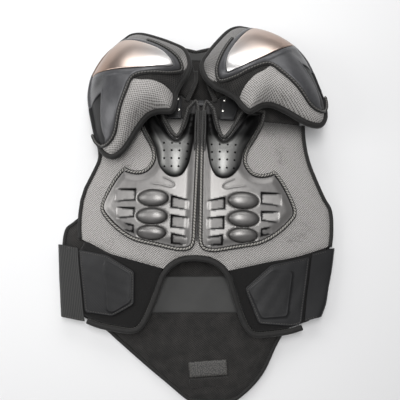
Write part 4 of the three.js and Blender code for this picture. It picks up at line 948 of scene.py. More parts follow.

# Cross-linked EVA foam, hot-pressed and sprayed with silver-grey lacquer: satin, so faces that look up
# are bright and steep ones fall off to dark. Painted shade darkens the grooves, the dome edges and the top.
pressed_foam, tree, shader = new_material("hot_pressed_eva_foam_silver_grey", Roughness=0.33, Metallic=0.55)
mottle = add_node(tree, "TexNoise", values={"Scale": 22.0, "Detail": 3.0})
lacquer = add_node(tree, "ValToRGB", links={0: mottle}, stops=((0, "777573"), (1, "8A8886")))
painted_shade_and_dye(tree, shader, lacquer, "141313")
pores = add_node(tree, "TexNoise", values={"Scale": 700.0, "Detail": 2.0})
add_node(tree, "MapRange", links={"Value": mottle}, values={"To Min": 0.3, "To Max": 0.42}, to="Roughness")
add_node(tree, "Bump", links={"Height": pores}, values={"Strength": 0.12, "Distance": 0.0003}, to="Normal")


def on_plate(rows):
    """Table rows as points of a chest plate, which starts beside the centre line."""
    return np.array(place_rows(rows, PLATE_REACH - PLATE_GAP, PLATE_ABOVE, PLATE_BELOW)) + [PLATE_GAP, 0]


plate_outline = trace(on_plate(PLATE_EDGE), 4, PLATE_CORNERS)[:-1]
plate_body = shrink(plate_outline, PIPING_WIDTH + 0.9)


def louvre_frame(row):
    """A louvre's deep end, its run from there to the face, and its four corners, deep end first."""
    width = PLATE_REACH - PLATE_GAP
    deep = np.array([row[0] * width + PLATE_GAP, row[1] * PLATE_BELOW])
    flat = np.array([row[3] * width + PLATE_GAP, row[4] * PLATE_BELOW])
    corners = [deep - [0, row[2] / 2], deep + [0, row[2] / 2], flat + [0, row[5] / 2], flat - [0, row[5] / 2]]
    return deep, flat - deep, corners


def up_ramp(row, x, y):
    """How far up a louvre's floor a point lies: 0 at the deep end, 1 where the floor meets the face."""
    deep, run, _ = louvre_frame(row)
    return ((x - deep[0]) * run[0] + (y - deep[1]) * run[1]) / (run @ run)


def plate_seat(x, y):
    """Where the plates and what is sewn between them sit on the front."""
    return front_top(x, y) + PLATE_SEAT


def plate_smooth(x, y):
    """The plate's face without its details: rounded down to the piping."""
    edge = away_from(plate_body, x, y)
    return plate_seat(x, y) + PLATE_THICKNESS * (0.38 + 0.62 * ease(-1, 13, edge))


domes = [(PLATE_GAP + out * (PLATE_REACH - PLATE_GAP), up * PLATE_BELOW, long * DOME_LENGTH / 2,
          wide * DOME_WIDTH / 2) for out, up, long, wide in DOMES]
louvre_loops, louvre_floors = [], []
for row in LOUVRES:
    deep, run, corners = louvre_frame(row)
    outer = trace(corners + corners[:1], 2.6, corners=(1, 2, 3))[:-1]
    t = np.clip(((outer - deep) @ run) / (run @ run), 0, 1)
    lean = LOUVRE_WALL - (LOUVRE_WALL - LOUVRE_WALL_END) * t
    louvre_loops.append(outer)
    louvre_floors.append(outer + (shrink(outer, 1.0) - outer) * lean[:, None])


def plate_face(x, y):
    """The moulded face: domes in their grooves, ramped louvres and the chevron."""
    z = plate_smooth(x, y)
    for cx, cy, half_long, half_wide in domes:
        out = np.hypot((x - cx) / half_long, (y - cy) / half_wide)
        dome = DOME_RISE * np.clip(1 - out ** 2, 0, 1) ** 0.62
        z = z + dome - 1.5 * np.exp(-((out - 1.04) / 0.055) ** 2)
    for row, floor_loop in zip(LOUVRES, louvre_floors):
        t = np.clip(up_ramp(row, x, y), 0, 1)
        on_floor = is_inside(floor_loop, x, y) | (away_from(floor_loop, x, y) < 0.05)
        z = z - np.where(on_floor, LOUVRE_DEPTH * (1 - t) ** 0.9 + 0.25, 0)
    ridge = away_from(chevron_line, x, y, closed=False)
    return z + CHEVRON_RISE * np.exp(-(ridge / 1.1) ** 2)


chevron_line = trace(CHEVRON, 1.5)
# rings of points round each dome: share of its size, points
DOME_RINGS = [(1.14, 72), (1.08, 72), (1.04, 72), (1.0, 72), (0.97, 72), (0.9, 64), (0.78, 56), (0.62, 40)]
dome_rings = []
for cx, cy, half_long, half_wide in domes:
    for share, count in DOME_RINGS:
        angle = np.arange(count) / count * 2 * np.pi
        dome_rings.append(np.stack([cx + share * half_long * np.cos(angle),
                                    cy + share * half_wide * np.sin(angle)], 1))
chevron_rows = [beside(chevron_line, reach) for reach in (-2.2, -1.1, 0, 1.1, 2.2)]
plate_rows = shrunk(plate_body, 0.7, 2.5, 5) + dome_rings + chevron_rows


def clear_of(rows, loops, gap):
    """Rows of points without those that lie nearer than gap to a loop."""
    kept = []
    for line in rows:
        near = np.min([away_from(loop, line[:, 0], line[:, 1]) for loop in loops], 0)
        if np.any(near > gap):
            kept.append(line[near > gap])
    return kept


plate_seams = louvre_loops + louvre_floors
plate_rows = clear_of(plate_rows, [*plate_seams, plate_body], 0.6)
plate_plan = net(plate_body, 2.6, seams=plate_seams, rows=plate_rows)


def plate_painted_shade(x, y):
    """Painted shade: dark lines at the louvres' walls and in the grooves round the domes, the domes darker
    towards their edges, and the plate darker towards its top.
    """
    dark = np.zeros(len(x))
    for row, wall, floor_loop in zip(LOUVRES, louvre_loops, louvre_floors):
        in_wall = is_inside(wall, x, y) & ~is_inside(floor_loop, x, y)
        near = np.minimum(away_from(floor_loop, x, y), away_from(wall, x, y))
        shade = 1 - ease(0.7, 1.0, up_ramp(row, x, y))
        dark = np.maximum(dark, np.where(in_wall | (near < 0.05), shade, 0))
    for cx, cy, half_long, half_wide in domes:
        out = np.hypot((x - cx) / half_long, (y - cy) / half_wide)
        groove = 0.7 * np.exp(-((out - 1.02) / 0.05) ** 2)
        dark = np.maximum(dark, groove + 0.55 * ease(0.45, 1, out) * (out < 1))
    return np.maximum(dark, ease(76, 100, y))


chest_plates = {}
for side, word in SIDES:
    made = pad(f"chest_plate_pressed_foam_{word}", flipped(plate_plan, side), plate_seat,
               lambda x, y: plate_face(np.abs(x), y), pressed_foam, on_front, sharp=42)
    x, y = in_front(made)
    add_shade_and_dye(made, plate_painted_shade(np.abs(x), y))
    chest_plates[word] = made
    on_body(made, "moulded_foam", f"chest_plate_{word}")

# ----------------------------------------------------------------------
# Chest piping. A flat black tape under a stitched cord, sewn round each chest plate. The two run side
# by side down the centre and part in a curve at the bottom.
CORD_LAY = 5  # length of one turn of the whipping, about 3 mm in life
CORD_WIDTH = 3.6
CORD_HEIGHT = 3.4
CORD_STRANDS = 2
CORD_LOBE = 0.16  # how far a strand stands out, as a share
CORD_SIDES = 10

# Whipped polyester cord: light grey thread in slanting turns with dark gaps between.
whipped_cord, tree, shader = new_material("whipped_polyester_cord_grey", Roughness=0.6, IOR=1.5,
                                          Sheen_Weight=0.15)
cut = add_node(tree, "UVMap", uv_map="cut")
slant = add_node(tree, "Mapping", links={"Vector": cut}, values={"Rotation": (0, 0, 0.7)})
turns = add_node(tree, "TexWave", links={"Vector": slant},
                 values={"Scale": 0.314 / CORD_LAY * 1.3, "Distortion": 0.8, "Detail": 1.0})
cord_dye = add_node(tree, "ValToRGB", links={0: turns.outputs["Fac"]},
                    stops=((0.15, "0F0F0E"), (0.55, "98958F")))
painted_shade_and_dye(tree, shader, cord_dye, "1C1B1A")
add_node(tree, "Bump", links={"Height": turns.outputs["Fac"]}, values={"Strength": 0.7, "Distance": 0.0006},
         to="Normal")


def whipped(width, height):
    """The lobed profile of a whipped cord, turning as it travels."""
    angle = np.arange(CORD_SIDES) / CORD_SIDES * 2 * np.pi

    def profile(travel):
        turn = 2 * np.pi * travel / (CORD_STRANDS * CORD_LAY)
        swell = 1 + CORD_LOBE * np.cos(CORD_STRANDS * (angle - turn))
        return np.stack([np.cos(angle) * width / 2 * swell, np.sin(angle) * height / 2 * swell], 1)

    return profile


for side, word in SIDES:
    line = shrink(plate_outline, PIPING_WIDTH / 2)
    line = trace(np.vstack([line, line[:1]]), 1.1)[:-1] * [side, 1]
    seat = plate_seat(*line.T)
    made = sweep(f"chest_piping_tape_{word}", on_front(at_height(line, seat + 1.2)[::3]),
                 oval(PIPING_WIDTH, 2.4, 10, 0.6), binding_tape, closed=True)
    on_body(made, "binding_tape", f"chest_piping_{word}")
    made = sweep(f"chest_piping_cord_{word}", on_front(at_height(line, seat + 3.2)),
                 whipped(CORD_WIDTH, CORD_HEIGHT), whipped_cord, closed=True)
    # Painted shade: the upper end of the cord is darkened where the vents shade it.
    add_shade_and_dye(made, 0.85 * ease(70, 100, np.repeat(line[:, 1], CORD_SIDES)))
    on_body(made, "binding_tape")

# ----------------------------------------------------------------------
# Vent domes. Injection-moulded satin teardrops, forked round the notch of each plate, with rows of
# drilled breathing holes through the shell and a small flat lip where they meet the foam.
VENT_EDGE = [
    (0.195, 0.205), (0.25, 0.215), (0.3, 0.245), (0.35, 0.3), (0.38, 0.36), (0.395, 0.42), (0.415, 0.503),
    (0.455, 0.585), (0.5, 0.665), (0.575, 0.818), (0.6, 0.935), (0.475, 0.935), (0.37, 0.79),
    (0.275, 0.66), (0.225, 0.61), (0.19, 0.6), (0.155, 0.625), (0.12, 0.71), (0.08, 0.81), (0.062, 0.909),
    (0.002, 0.909), (0.004, 0.7), (0.01, 0.59), (0.025, 0.465), (0.052, 0.343), (0.1, 0.25),
    (0.145, 0.216), (0.195, 0.205),
]
VENT_CORNERS = (10, 11, 19, 20)
VENT_RISE = 9.5
VENT_WALL = 2
HOLE_RADIUS = 1.8
HOLE_RIM = 1.1
HOLE_LIP = 0.35
HOLE_PITCH = 12.6
HOLE_RISE = 13.3
ARM_HOLE_RADIUS = 1.2

# ABS, injection-moulded with gunmetal pigment: near-black sides, which are painted shade, and a broad soft
# light down the crown.
gunmetal_abs, tree, shader = new_material("injection_moulded_abs_gunmetal", Roughness=0.34, IOR=1.54,
                                        Metallic=0.8)
flow = add_node(tree, "TexNoise", values={"Scale": 40.0, "Detail": 3.0})
abs_tone = add_node(tree, "ValToRGB", links={0: flow}, stops=((0, "6E6E6C"), (1, "7E7E7C")))
painted_shade_and_dye(tree, shader, abs_tone, "0E0E0E")
scuff = add_node(tree, "TexNoise", values={"Scale": 260.0, "Detail": 4.0})
add_node(tree, "MapRange", links={"Value": scuff}, values={"To Min": 0.32, "To Max": 0.42}, to="Roughness")

vent_outline = trace(on_plate(VENT_EDGE), 3, VENT_CORNERS)[:-1]


def circle(cx, cy, radius):
    angle = np.arange(16) / 16 * 2 * np.pi
    return np.stack([cx + radius * np.cos(angle), cy + radius * np.sin(angle)], 1)


hole_spots = []
for row in range(4):
    for column in range(4):
        first = on_plate([(0.191, 0.306)])[0]
        spread = (column - 1.5) * HOLE_PITCH * (0.94 + row * 0.04)
        hole_spots.append((first[0] + spread, first[1] + row * HOLE_RISE, HOLE_RADIUS))
for i in range(4):
    x, y = on_plate([(0.045 - i * 0.004, 0.66 + i * 0.07)])[0]
    hole_spots.append((x, y, ARM_HOLE_RADIUS))
hole_spots = [(x, y, r) for x, y, r in hole_spots
              if is_inside(vent_outline, np.array([x]), np.array([y]))[0]
              and away_from(vent_outline, np.array([x]), np.array([y]))[0] > r + 0.8]
hole_loops = [circle(x, y, r) for x, y, r in hole_spots]
hole_rims = [circle(x, y, r + rim) for rim in (HOLE_RIM, HOLE_LIP) for x, y, r in hole_spots]


BLOWN_ROUNDS = 1500  # enough for the swell to settle


def blown(outline):
    """A function for the swell of a sheet held along an outline and blown up: 0 there, 1 at its highest."""
    low, high = outline.min(0) - 2, outline.max(0) + 2
    across, up = np.arange(low[0], high[0]), np.arange(low[1], high[1])
    inside = is_inside(outline, *np.meshgrid(across, up))
    swell = np.zeros(inside.shape)
    for _ in range(BLOWN_ROUNDS):
        around = np.roll(swell, 1, 0) + np.roll(swell, -1, 0) + np.roll(swell, 1, 1) + np.roll(swell, -1, 1)
        swell = np.where(inside, around / 4 + 1, 0)
    swell /= swell.max()

    def at(x, y):
        i, j = y - low[1], x - low[0]
        i0, j0 = np.clip(i.astype(int), 0, len(up) - 2), np.clip(j.astype(int), 0, len(across) - 2)
        s, t = i - i0, j - j0
        return ((swell[i0, j0] * (1 - t) + swell[i0, j0 + 1] * t) * (1 - s)
                + (swell[i0 + 1, j0] * (1 - t) + swell[i0 + 1, j0 + 1] * t) * s)

    return at


vent_swell = blown(vent_outline)


def vent_under(x, y):
    """The dome's inside: blown up from the lip, highest over the holes and low along the fork."""
    return plate_smooth(x, y) + 0.3 + VENT_RISE * vent_swell(x, y) ** 0.75


def vent_face(x, y):
    edge = away_from(vent_outline, x, y)
    return vent_under(x, y) + VENT_WALL * (0.25 + 0.75 * bulge(edge / 1.6))


vent_rows = clear_of(shrunk(vent_outline, 0.5, 1.6, 3.2), hole_rims + [vent_outline], 0.35)
vent_plan = net(vent_outline, 2.2, seams=hole_rims, holes=hole_loops, rows=vent_rows)

for side, word in SIDES:
    made = pad(f"vent_dome_glossy_{word}", flipped(vent_plan, side), lambda x, y: vent_under(np.abs(x), y),
               lambda x, y: vent_face(np.abs(x), y), gunmetal_abs, on_front, sharp=50)
    on_body(made, "vent_plastic", f"vent_dome_{word}")
    # Painted shade: the vent darker towards its edge and over its upper end.
    x, y = in_front(made)
    from_edge = away_from(vent_outline, np.abs(x), y)
    add_shade_and_dye(made, np.maximum(0.9 * (1 - ease(1, 11, from_edge)), ease(0.5, 0.68, y / PLATE_ABOVE)))
    # The foam under a vent is in the dark: painted shade, black through the holes.
    plate = chest_plates[word]
    x, y = in_front(plate)
    dark = np.zeros(len(x))
    plate.data.attributes["crease"].data.foreach_get("value", dark)
    covered = is_inside(vent_outline, np.abs(x), y) & (away_from(vent_outline, np.abs(x), y) > 1.5)
    plate.data.attributes["crease"].data.foreach_set("value", np.where(covered, 1, dark))

# ----------------------------------------------------------------------
# Centre placket. A folded strip of lining, sewn as a vertical ridge between the two pipings, with more
# folds beside it higher up and a moulded pull of soft PVC at its top.
PLACKET_HALF = PIPING_PARTING - 0.6
PLACKET_TOP = 0.95 * PLATE_ABOVE
PLACKET_BOTTOM = -0.8 * PLATE_BELOW
PLACKET_HEIGHT = 3


def placket_face(x, y):
    """One sewn ridge, creased along its crown."""
    crown = bulge((PLACKET_HALF - np.abs(x)) / PLACKET_HALF)
    return plate_seat(x, y) + PLACKET_HEIGHT * (0.3 + 0.7 * crown) + 0.15 * np.sin(y / 2.1)


placket_corners = [(PLACKET_HALF, PLACKET_BOTTOM), (PLACKET_HALF, PLACKET_TOP), (-PLACKET_HALF, PLACKET_TOP),
                   (-PLACKET_HALF, PLACKET_BOTTOM)]
placket_outline = trace(placket_corners + placket_corners[:1], 2, corners=(1, 2, 3))[:-1]
placket_run = np.arange(PLACKET_BOTTOM + 1, PLACKET_TOP - 1, 1.6)
ridge_rows = [np.stack([np.full(len(placket_run), at), placket_run], 1) for at in (-0.6, 0, 0.6)]
placket_plan = net(placket_outline, 3, rows=ridge_rows)
placket = pad("centre_placket_ridge", placket_plan, lambda x, y: plate_seat(x, y) - 0.2, placket_face,
              lining_cloth, on_front)
on_body(placket, "binding_tape", "centre_placket")

# The upper half of the placket shows two more sewn folds on each side, over the pipings.
FOLDS = (4.2, 8.6)
for side, word in SIDES:
    for number, out in enumerate(FOLDS, 1):
        y = np.arange(0.5 * PLATE_ABOVE, PLACKET_TOP, 2.0)
        x = np.full(len(y), float(out)) * (1 - 0.12 * ease(120, 157, y))
        rise = PLATE_SEAT + PIPING_HEIGHT - 0.2 - 2.5 * (1 - ease(82, 100, y))
        fold = on_front(np.column_stack([side * x, y, front_top(x, y) + rise]))
        made = sweep(f"placket_fold_{word}_{number}", fold, oval(2.6, 2.4, 10), lining_cloth)
        on_body(made, "binding_tape")

# Injection-moulded soft PVC: dark, slightly waxy, with worn paler edges.
soft_pvc, tree, shader = new_material("moulded_soft_pvc_black", Roughness=0.42, IOR=1.53,
                                      Specular_IOR_Level=0.3)
bloom = add_node(tree, "TexNoise", values={"Scale": 60.0, "Detail": 4.0})
add_node(tree, "ValToRGB", links={0: bloom}, stops=((0, "111112"), (1, "1E1E1F")), to="Base Color")
grain = add_node(tree, "TexNoise", values={"Scale": 900.0, "Detail": 2.0})
add_node(tree, "Bump", links={"Height": grain}, values={"Strength": 0.2, "Distance": 0.0003}, to="Normal")

PULL_LENGTH = 18
PULL_WIDTH = 12
pull_outline = rounded_box(PULL_LENGTH, -PULL_WIDTH / 2, PULL_WIDTH / 2, 5.6, 1.5)
pull_plan = net(pull_outline, 1.6, rows=shrunk(pull_outline, 0.4, 1.2))
PULL_UP = 1.04 * PLATE_ABOVE
PULL_REST = float(plate_seat(0, PULL_UP))


def pull_face(x, y):
    edge = away_from(pull_outline, x, y)
    return 1.6 + 3.0 * bulge(edge / 5) - 0.8 * np.exp(-((edge - 3.4) / 0.6) ** 2)


def pull_under(x, y):
    return 1.6 - 1.5 * bulge(away_from(pull_outline, x, y) / 2)


pull = pad("placket_pull_rubber", pull_plan, pull_under, pull_face, soft_pvc,
           lambda body: on_front(body + [0, PULL_UP, PULL_REST]))
on_body(pull, "coated_webbing", "placket_tab")

# ----------------------------------------------------------------------
# Cup tabs. Smooth die-cut straps that hold each shoulder cup to the notch of its chest plate, each
# fixed with two nickel-plated rivets.
TAB_THICKNESS = 2.5
TAB_EDGE = [(0.2, 0.853), (0.345, 0.853), (0.4, 1.004), (0.4, 1.115), (0.2, 1.115), (0.2, 0.853)]
RIVETS = [(0.245, 1.082), (0.23, 0.953)]
RIVET_RADIUS = 3
RIVET_RISE = 2
RIVET_SIDES = 24
RIVET_PROFILE = [(0.35, 0.97), (0.65, 0.82), (0.88, 0.5), (1.0, 0.12), (1.0, -0.1), (0.6, -0.1)]  # out, up

# Nickel-plated steel, pressed and tumbled: a bright small head with fine wear marks.
nickel_plate, tree, shader = new_material("nickel_plated_steel_pressed", Metallic=1.0, Roughness=0.22)
tumbled = add_node(tree, "TexNoise", values={"Scale": 500.0, "Detail": 3.0})
add_node(tree, "ValToRGB", links={0: tumbled}, stops=((0, "A9A7A2"), (1, "D8D6D0")), to="Base Color")

tab_outline = trace(place_rows(TAB_EDGE, PLATE_REACH, PLATE_ABOVE, 1), 3, corners=(1, 2, 3, 4))[:-1]


def tab_face(x, y):
    """The strap's face, pressed down along a line inside its edge."""
    edge = away_from(tab_outline, np.abs(x), y)
    pressed = 0.5 * np.exp(-((edge - 3.2) / 0.6) ** 2)
    return plate_seat(x, y) + TAB_THICKNESS * (0.3 + 0.7 * bulge(edge / 1.5)) - pressed


tab_plan = net(tab_outline, 2.5, rows=shrunk(tab_outline, 0.5, 1.5, 2.6, 3.2, 3.9))
for side, word in SIDES:
    strap = pad(f"cup_tab_strap_{word}", flipped(tab_plan, side), plate_seat, tab_face, soft_pvc, on_front)
    on_body(strap, "coated_webbing", f"cup_tab_{word}")
    for number, (x, y) in enumerate(place_rows(RIVETS, PLATE_REACH, PLATE_ABOVE, 1), 1):
        rest = float(plate_seat(x, y)) + TAB_THICKNESS
        points = []
        for out, up in RIVET_PROFILE:
            angle = np.arange(RIVET_SIDES) / RIVET_SIDES * 2 * np.pi
            points += [(side * x + out * RIVET_RADIUS * np.cos(a), y + out * RIVET_RADIUS * np.sin(a),
                        rest + up * RIVET_RISE) for a in angle]
        points.append((side * x, y, rest + RIVET_RISE))
        rounds = [(s, (s + 1) % RIVET_SIDES) for s in range(RIVET_SIDES)]
        faces = [(r + RIVET_SIDES + s, r + RIVET_SIDES + t, r + t, r + s)
                 for r in range(0, (len(RIVET_PROFILE) - 1) * RIVET_SIDES, RIVET_SIDES) for s, t in rounds]
        faces += [(s, t, len(points) - 1) for s, t in rounds]
        faces.append(tuple((len(RIVET_PROFILE) - 1) * RIVET_SIDES + s for s, _ in reversed(rounds)))
        head = make_piece(f"cup_rivet_head_{word}_{number}", on_front(points), faces, nickel_plate, sharp=40)
        on_body(head, "brushed_plate", f"cup_rivet_{word}_{number}")

# ----------------------------------------------------------------------
# Shoulder pads. Each cup is a moulded foam dome faced with air mesh, grey on the arm and black beside
# the neck, with a rolled tape round its rim. One design and its mirror image hang at two angles.
CUP_LENGTH = 202
CUP_WIDTH = 142
CUP_RIM = 66
CUP_CREST = 105
CUP_WALL = 8
CUP_TILT = 0.27
CUP_DROOP = 37
CUP_HIGH = 0.35
RIM_TAPE = 10
RIM_TAPE_HEIGHT = 12
CUP_SEATS = [("left", -1, -28.08, 222.99, -134.3), ("right", 1, 28.08, 202.05, -16.6)]
CUP_EDGE = [
    (-0.2, 0.24), (-0.178, 0.465), (-0.129, 0.69), (-0.069, 0.887), (0.01, 0.985), (0.1, 1), (0.223, 1),
    (0.337, 0.986), (0.455, 0.944), (0.584, 0.873), (0.708, 0.732), (0.792, 0.577), (0.866, 0.408),
    (0.94, 0.225), (0.99, 0.07), (1, -0.056), (0.97, -0.169), (0.891, -0.218), (0.792, -0.211),
    (0.634, -0.155), (0.515, -0.134), (0.436, -0.183), (0.351, -0.31), (0.257, -0.254), (0.198, -0.18),
    (0.1, -0.12), (0, -0.085), (-0.12, 0.03), (-0.2, 0.24),
]
NECK_SEAM = [(84, 40), (74, 24), (63, 13), (54, 0), (48.5, -12), (47, -22), (50, -34), (54, -46)]


def on_cup(rows):
    return np.array([(a * CUP_LENGTH, b * CUP_WIDTH) for a, b in rows])


def closed_trace(rows, step):
    """A smooth closed line whose first and last rows are the same point."""
    wrapped = np.vstack([rows[-4:-1], rows, rows[1:4]])
    line = trace(wrapped, step)
    first = int(np.argmin(np.hypot(*(line[:len(line) // 2] - rows[0]).T)))
    last = len(line) // 2 + int(np.argmin(np.hypot(*(line[len(line) // 2:] - rows[0]).T)))
    return line[first:last]


rim_line = closed_trace(on_cup(CUP_EDGE), 4)
pad_line = shrink(rim_line, RIM_TAPE * 0.72)
cup_centre = np.array([0.42 * CUP_LENGTH, 0.32 * CUP_WIDTH])


def rim_height(a, b):
    return CUP_RIM - CUP_TILT * b - CUP_DROOP * (a / CUP_LENGTH - CUP_HIGH) ** 2


spoke_turn = np.arctan2(*(pad_line - cup_centre).T[::-1])
spoke_order = np.argsort(spoke_turn)
spoke_angle = np.linspace(-np.pi, np.pi, 360, endpoint=False)
spoke_reach = np.linalg.norm(pad_line - cup_centre, axis=1)[spoke_order]
spoke_reach = np.interp(spoke_angle, spoke_turn[spoke_order], spoke_reach, period=2 * np.pi)
blur = np.exp(-(np.arange(-45, 46) / 16.0) ** 2)
spoke_reach = np.convolve(np.tile(spoke_reach, 3), blur / blur.sum(), "same")[360:720]


def crest_share(a, b):
    """How far a point is from the crest, as a share of the way to the pad's edge. Away from the edge the
    shares are evened out between directions, so that the dome has no ridges."""
    away_a, away_b = a - cup_centre[0], b - cup_centre[1]
    share = np.zeros(np.shape(a))
    for p, q in zip(pad_line, np.roll(pad_line, -1, 0)):
        along = q - p
        start = p - cup_centre
        cross = away_a * along[1] - away_b * along[0]
        cross = np.where(np.abs(cross) < 1e-9, 1e-9, cross)
        reach = (start[0] * along[1] - start[1] * along[0]) / cross
        at = (start[0] * away_b - start[1] * away_a) / cross
        hit = (reach > 0) & (at > -1e-6) & (at < 1 + 1e-6)
        share = np.maximum(share, np.where(hit, 1 / np.maximum(reach, 1e-9), 0))
    share = np.minimum(share, 1)
    turn = np.arctan2(away_b, away_a)
    even = np.hypot(away_a, away_b) / np.interp(turn, spoke_angle, spoke_reach, period=2 * np.pi)
    at_edge = ease(0.7, 0.97, share)
    return np.minimum(share * at_edge + even * (1 - at_edge), 1)


cup_hollow = CUP_CREST - CUP_WALL / 2 - rim_height(*cup_centre)


def pad_middle(a, b):
    return rim_height(a, b) + cup_hollow * (1 - crest_share(a, b) ** 2.6) ** 0.75


def under_shell(a, b):
    """The pad is moulded lower where the hard shell sits."""
    return 5.5 * ease(4, 11, away_from(shell_outline, a, b)) * is_inside(shell_outline, a, b)


def pad_face(a, b):
    """The mesh face: pulled in at the rim tape and at the neck seam, a little uneven between."""
    edge = away_from(pad_line, a, b)
    seam = away_from(neck_seam, a, b, closed=False)
    return (pad_middle(a, b) + CUP_WALL * (0.3 + 0.2 * bulge(edge / 6)) - 1.6 * np.exp(-(seam / 1.8) ** 2)
            + 0.35 * ripple(a, b, 55, 7) * ease(3, 20, edge) - under_shell(a, b))


def pad_under(a, b):
    thick = CUP_WALL * (0.25 + 0.25 * bulge(away_from(pad_line, a, b) / 6))
    return np.minimum(pad_middle(a, b) - thick, pad_face(a, b) - 0.8)


SHELL_EDGE = [
    (0.03, -0.025), (0.158, 0.015), (0.24, 0.1), (0.347, 0.215), (0.411, 0.24), (0.515, 0.176),
    (0.619, 0.106), (0.7, 0.042), (0.797, -0.035), (0.88, -0.056), (0.945, -0.015), (0.975, 0.1),
    (0.952, 0.24), (0.88, 0.42), (0.806, 0.59), (0.721, 0.748), (0.595, 0.89), (0.462, 0.963),
    (0.34, 1.006), (0.22, 1.005), (0.135, 0.925), (0.06, 0.77), (0, 0.53), (-0.03, 0.3), (-0.03, 0.1),
    (0.03, -0.025),
]
shell_outline = closed_trace(on_cup(SHELL_EDGE), 3)
neck_seam = trace(NECK_SEAM, 2.5)
neck_side = np.vstack([neck_seam, [(-90, -46), (-90, 4), (2, 0), (40, 24), (70, 40)]])
pad_rows = shrunk(pad_line, 1, 2.5, 5)
pad_rows += [beside(neck_seam, reach) for reach in (-2.6, -1.2, 0, 1.2, 2.6)]
pad_rows = [line[is_inside(pad_line, line[:, 0], line[:, 1])] for line in pad_rows]
pad_plan = net(pad_line, 4.2, rows=clear_of(pad_rows, [pad_line], 0.7))


def to_world(seat):
    """Turns points of a cup's own frame, mirrored for the left cup, into the vest's frame."""
    _, side, x, y, turn = seat
    c, s = math.cos(math.radians(turn)), math.sin(math.radians(turn))

    def moved(body):
        body = np.asarray(body, float)
        a, b = body[:, 0], body[:, 1] * side
        return np.column_stack([x + a * c - b * s, y + a * s + b * c, body[:, 2]])

    return moved


def cup_pad(name, seat, plan, lower, upper, material, sharp=None):
    points, faces = plan
    plan = points, faces[:, ::seat[1]]
    return pad(f"{name}_{seat[0]}", plan, lower, upper, material, to_world(seat), sharp)


def cup_sweep(name, seat, line, profile, material, closed=False):
    line = np.asarray(line)[::seat[1]]
    return sweep(f"{name}_{seat[0]}", to_world(seat)(line), profile, material, closed)


def plan_points(piece):
    """Where each point of a piece lies in its cutting plan."""
    corner_map = np.zeros(len(piece.data.loops) * 2)
    piece.data.uv_layers["cut"].data.foreach_get("uv", corner_map)
    vertex_of = np.zeros(len(piece.data.loops), int)
    piece.data.loops.foreach_get("vertex_index", vertex_of)
    at = np.zeros((len(piece.data.vertices), 2))
    at[vertex_of] = corner_map.reshape(-1, 2)
    return at.T


def recolour(piece, material, chosen):
    """A second material on the faces whose middle in the cutting plan is chosen."""
    piece.data.materials.append(material)
    cut_map = piece.data.uv_layers["cut"].data
    middles = [np.mean([cut_map[i].uv[:] for i in face.loop_indices], 0) for face in piece.data.polygons]
    piece.data.polygons.foreach_set("material_index", chosen(*np.array(middles).T).astype(np.int32))


for seat in CUP_SEATS:
    made = cup_pad("shoulder_pad_air_mesh", seat, pad_plan, pad_under, pad_face, air_mesh)
    a, b = plan_points(made)
    # Painted shade: the grey mesh darkens towards the cup's neck end.
    add_shade_and_dye(made, 0.55 * (1 - ease(0.12 * CUP_LENGTH, 0.4 * CUP_LENGTH, a)) * ease(0, 0.2 * CUP_WIDTH, b))
    recolour(made, spacer_mesh, lambda a, b: is_inside(neck_side, a, b))
    on_body(made, "grey_mesh", f"shoulder_pad_{seat[0]}")
    rim = shrink(rim_line, RIM_TAPE / 2)
    rim = at_height(rim, rim_height(*rim.T))
    made = cup_sweep("shoulder_rim_rolled_tape", seat, rim, oval(RIM_TAPE, RIM_TAPE_HEIGHT, 16, 0.9),
                     binding_tape, closed=True)
    on_body(made, "binding_tape", f"shoulder_binding_{seat[0]}")
    seam = shrink(rim_line, RIM_TAPE * 0.93)
    seam = to_world(seat)(at_height(seam, rim_height(*seam.T) + 4.2))
    sew(f"shoulder_rim_stitches_{seat[0]}", [seam], "binding_tape", pitch=4.6, length=3.2)

# ----------------------------------------------------------------------
# Shoulder shells. Moulded hard plastic over the shoulder: a flat border round the metal plate, a
# scooped air intake, and an outer band that drops away behind a narrow slot towards the tip.
SHELL_THICKNESS = 3
SHELL_GAP = 0.6
BEAD_WIDTH = 4
METAL_EDGE = [
    (0.065, 0.085), (0.12, 0.085), (0.282, 0.255), (0.42, 0.47), (0.505, 0.63), (0.56, 0.79),
    (0.555, 0.855), (0.46, 0.918), (0.34, 0.958), (0.24, 0.945), (0.15, 0.79), (0.07, 0.49), (0.04, 0.27),
    (0.065, 0.085),
]
SLOT = [(128, 66), (134, 60), (142, 52), (151, 43.5), (159, 35.5), (166, 28), (172, 20), (177, 12), (180, 5)]
SLOT_DEPTH = 4.5
SCOOP = (122, 82)
SCOOP_DEPTH = 3
NOTCH = [(129, 62), (138, 67), (149, 72), (166, 79)]

# Polypropylene, injection-moulded with a satin grain and pewter pigment: mid grey where it faces the
# light, nearly black where it turns away. Painted shade also darkens the scoop, the groove round the
# plate and the band beyond the slot.
satin_shell, tree, shader = new_material("injection_moulded_polypropylene_pewter", Roughness=0.34, IOR=1.49,
                                         Metallic=0.3)
swirl = add_node(tree, "TexNoise", values={"Scale": 18.0, "Detail": 4.0})
pewter = add_node(tree, "ValToRGB", links={0: swirl}, stops=((0, "404042"), (1, "555557")))
painted_shade_and_dye(tree, shader, pewter, "0A0A0B")
grain = add_node(tree, "TexNoise", values={"Scale": 800.0, "Detail": 2.0})
add_node(tree, "Bump", links={"Height": grain}, values={"Strength": 0.15, "Distance": 0.0003}, to="Normal")
add_node(tree, "MapRange", links={"Value": swirl}, values={"To Min": 0.28, "To Max": 0.4}, to="Roughness")

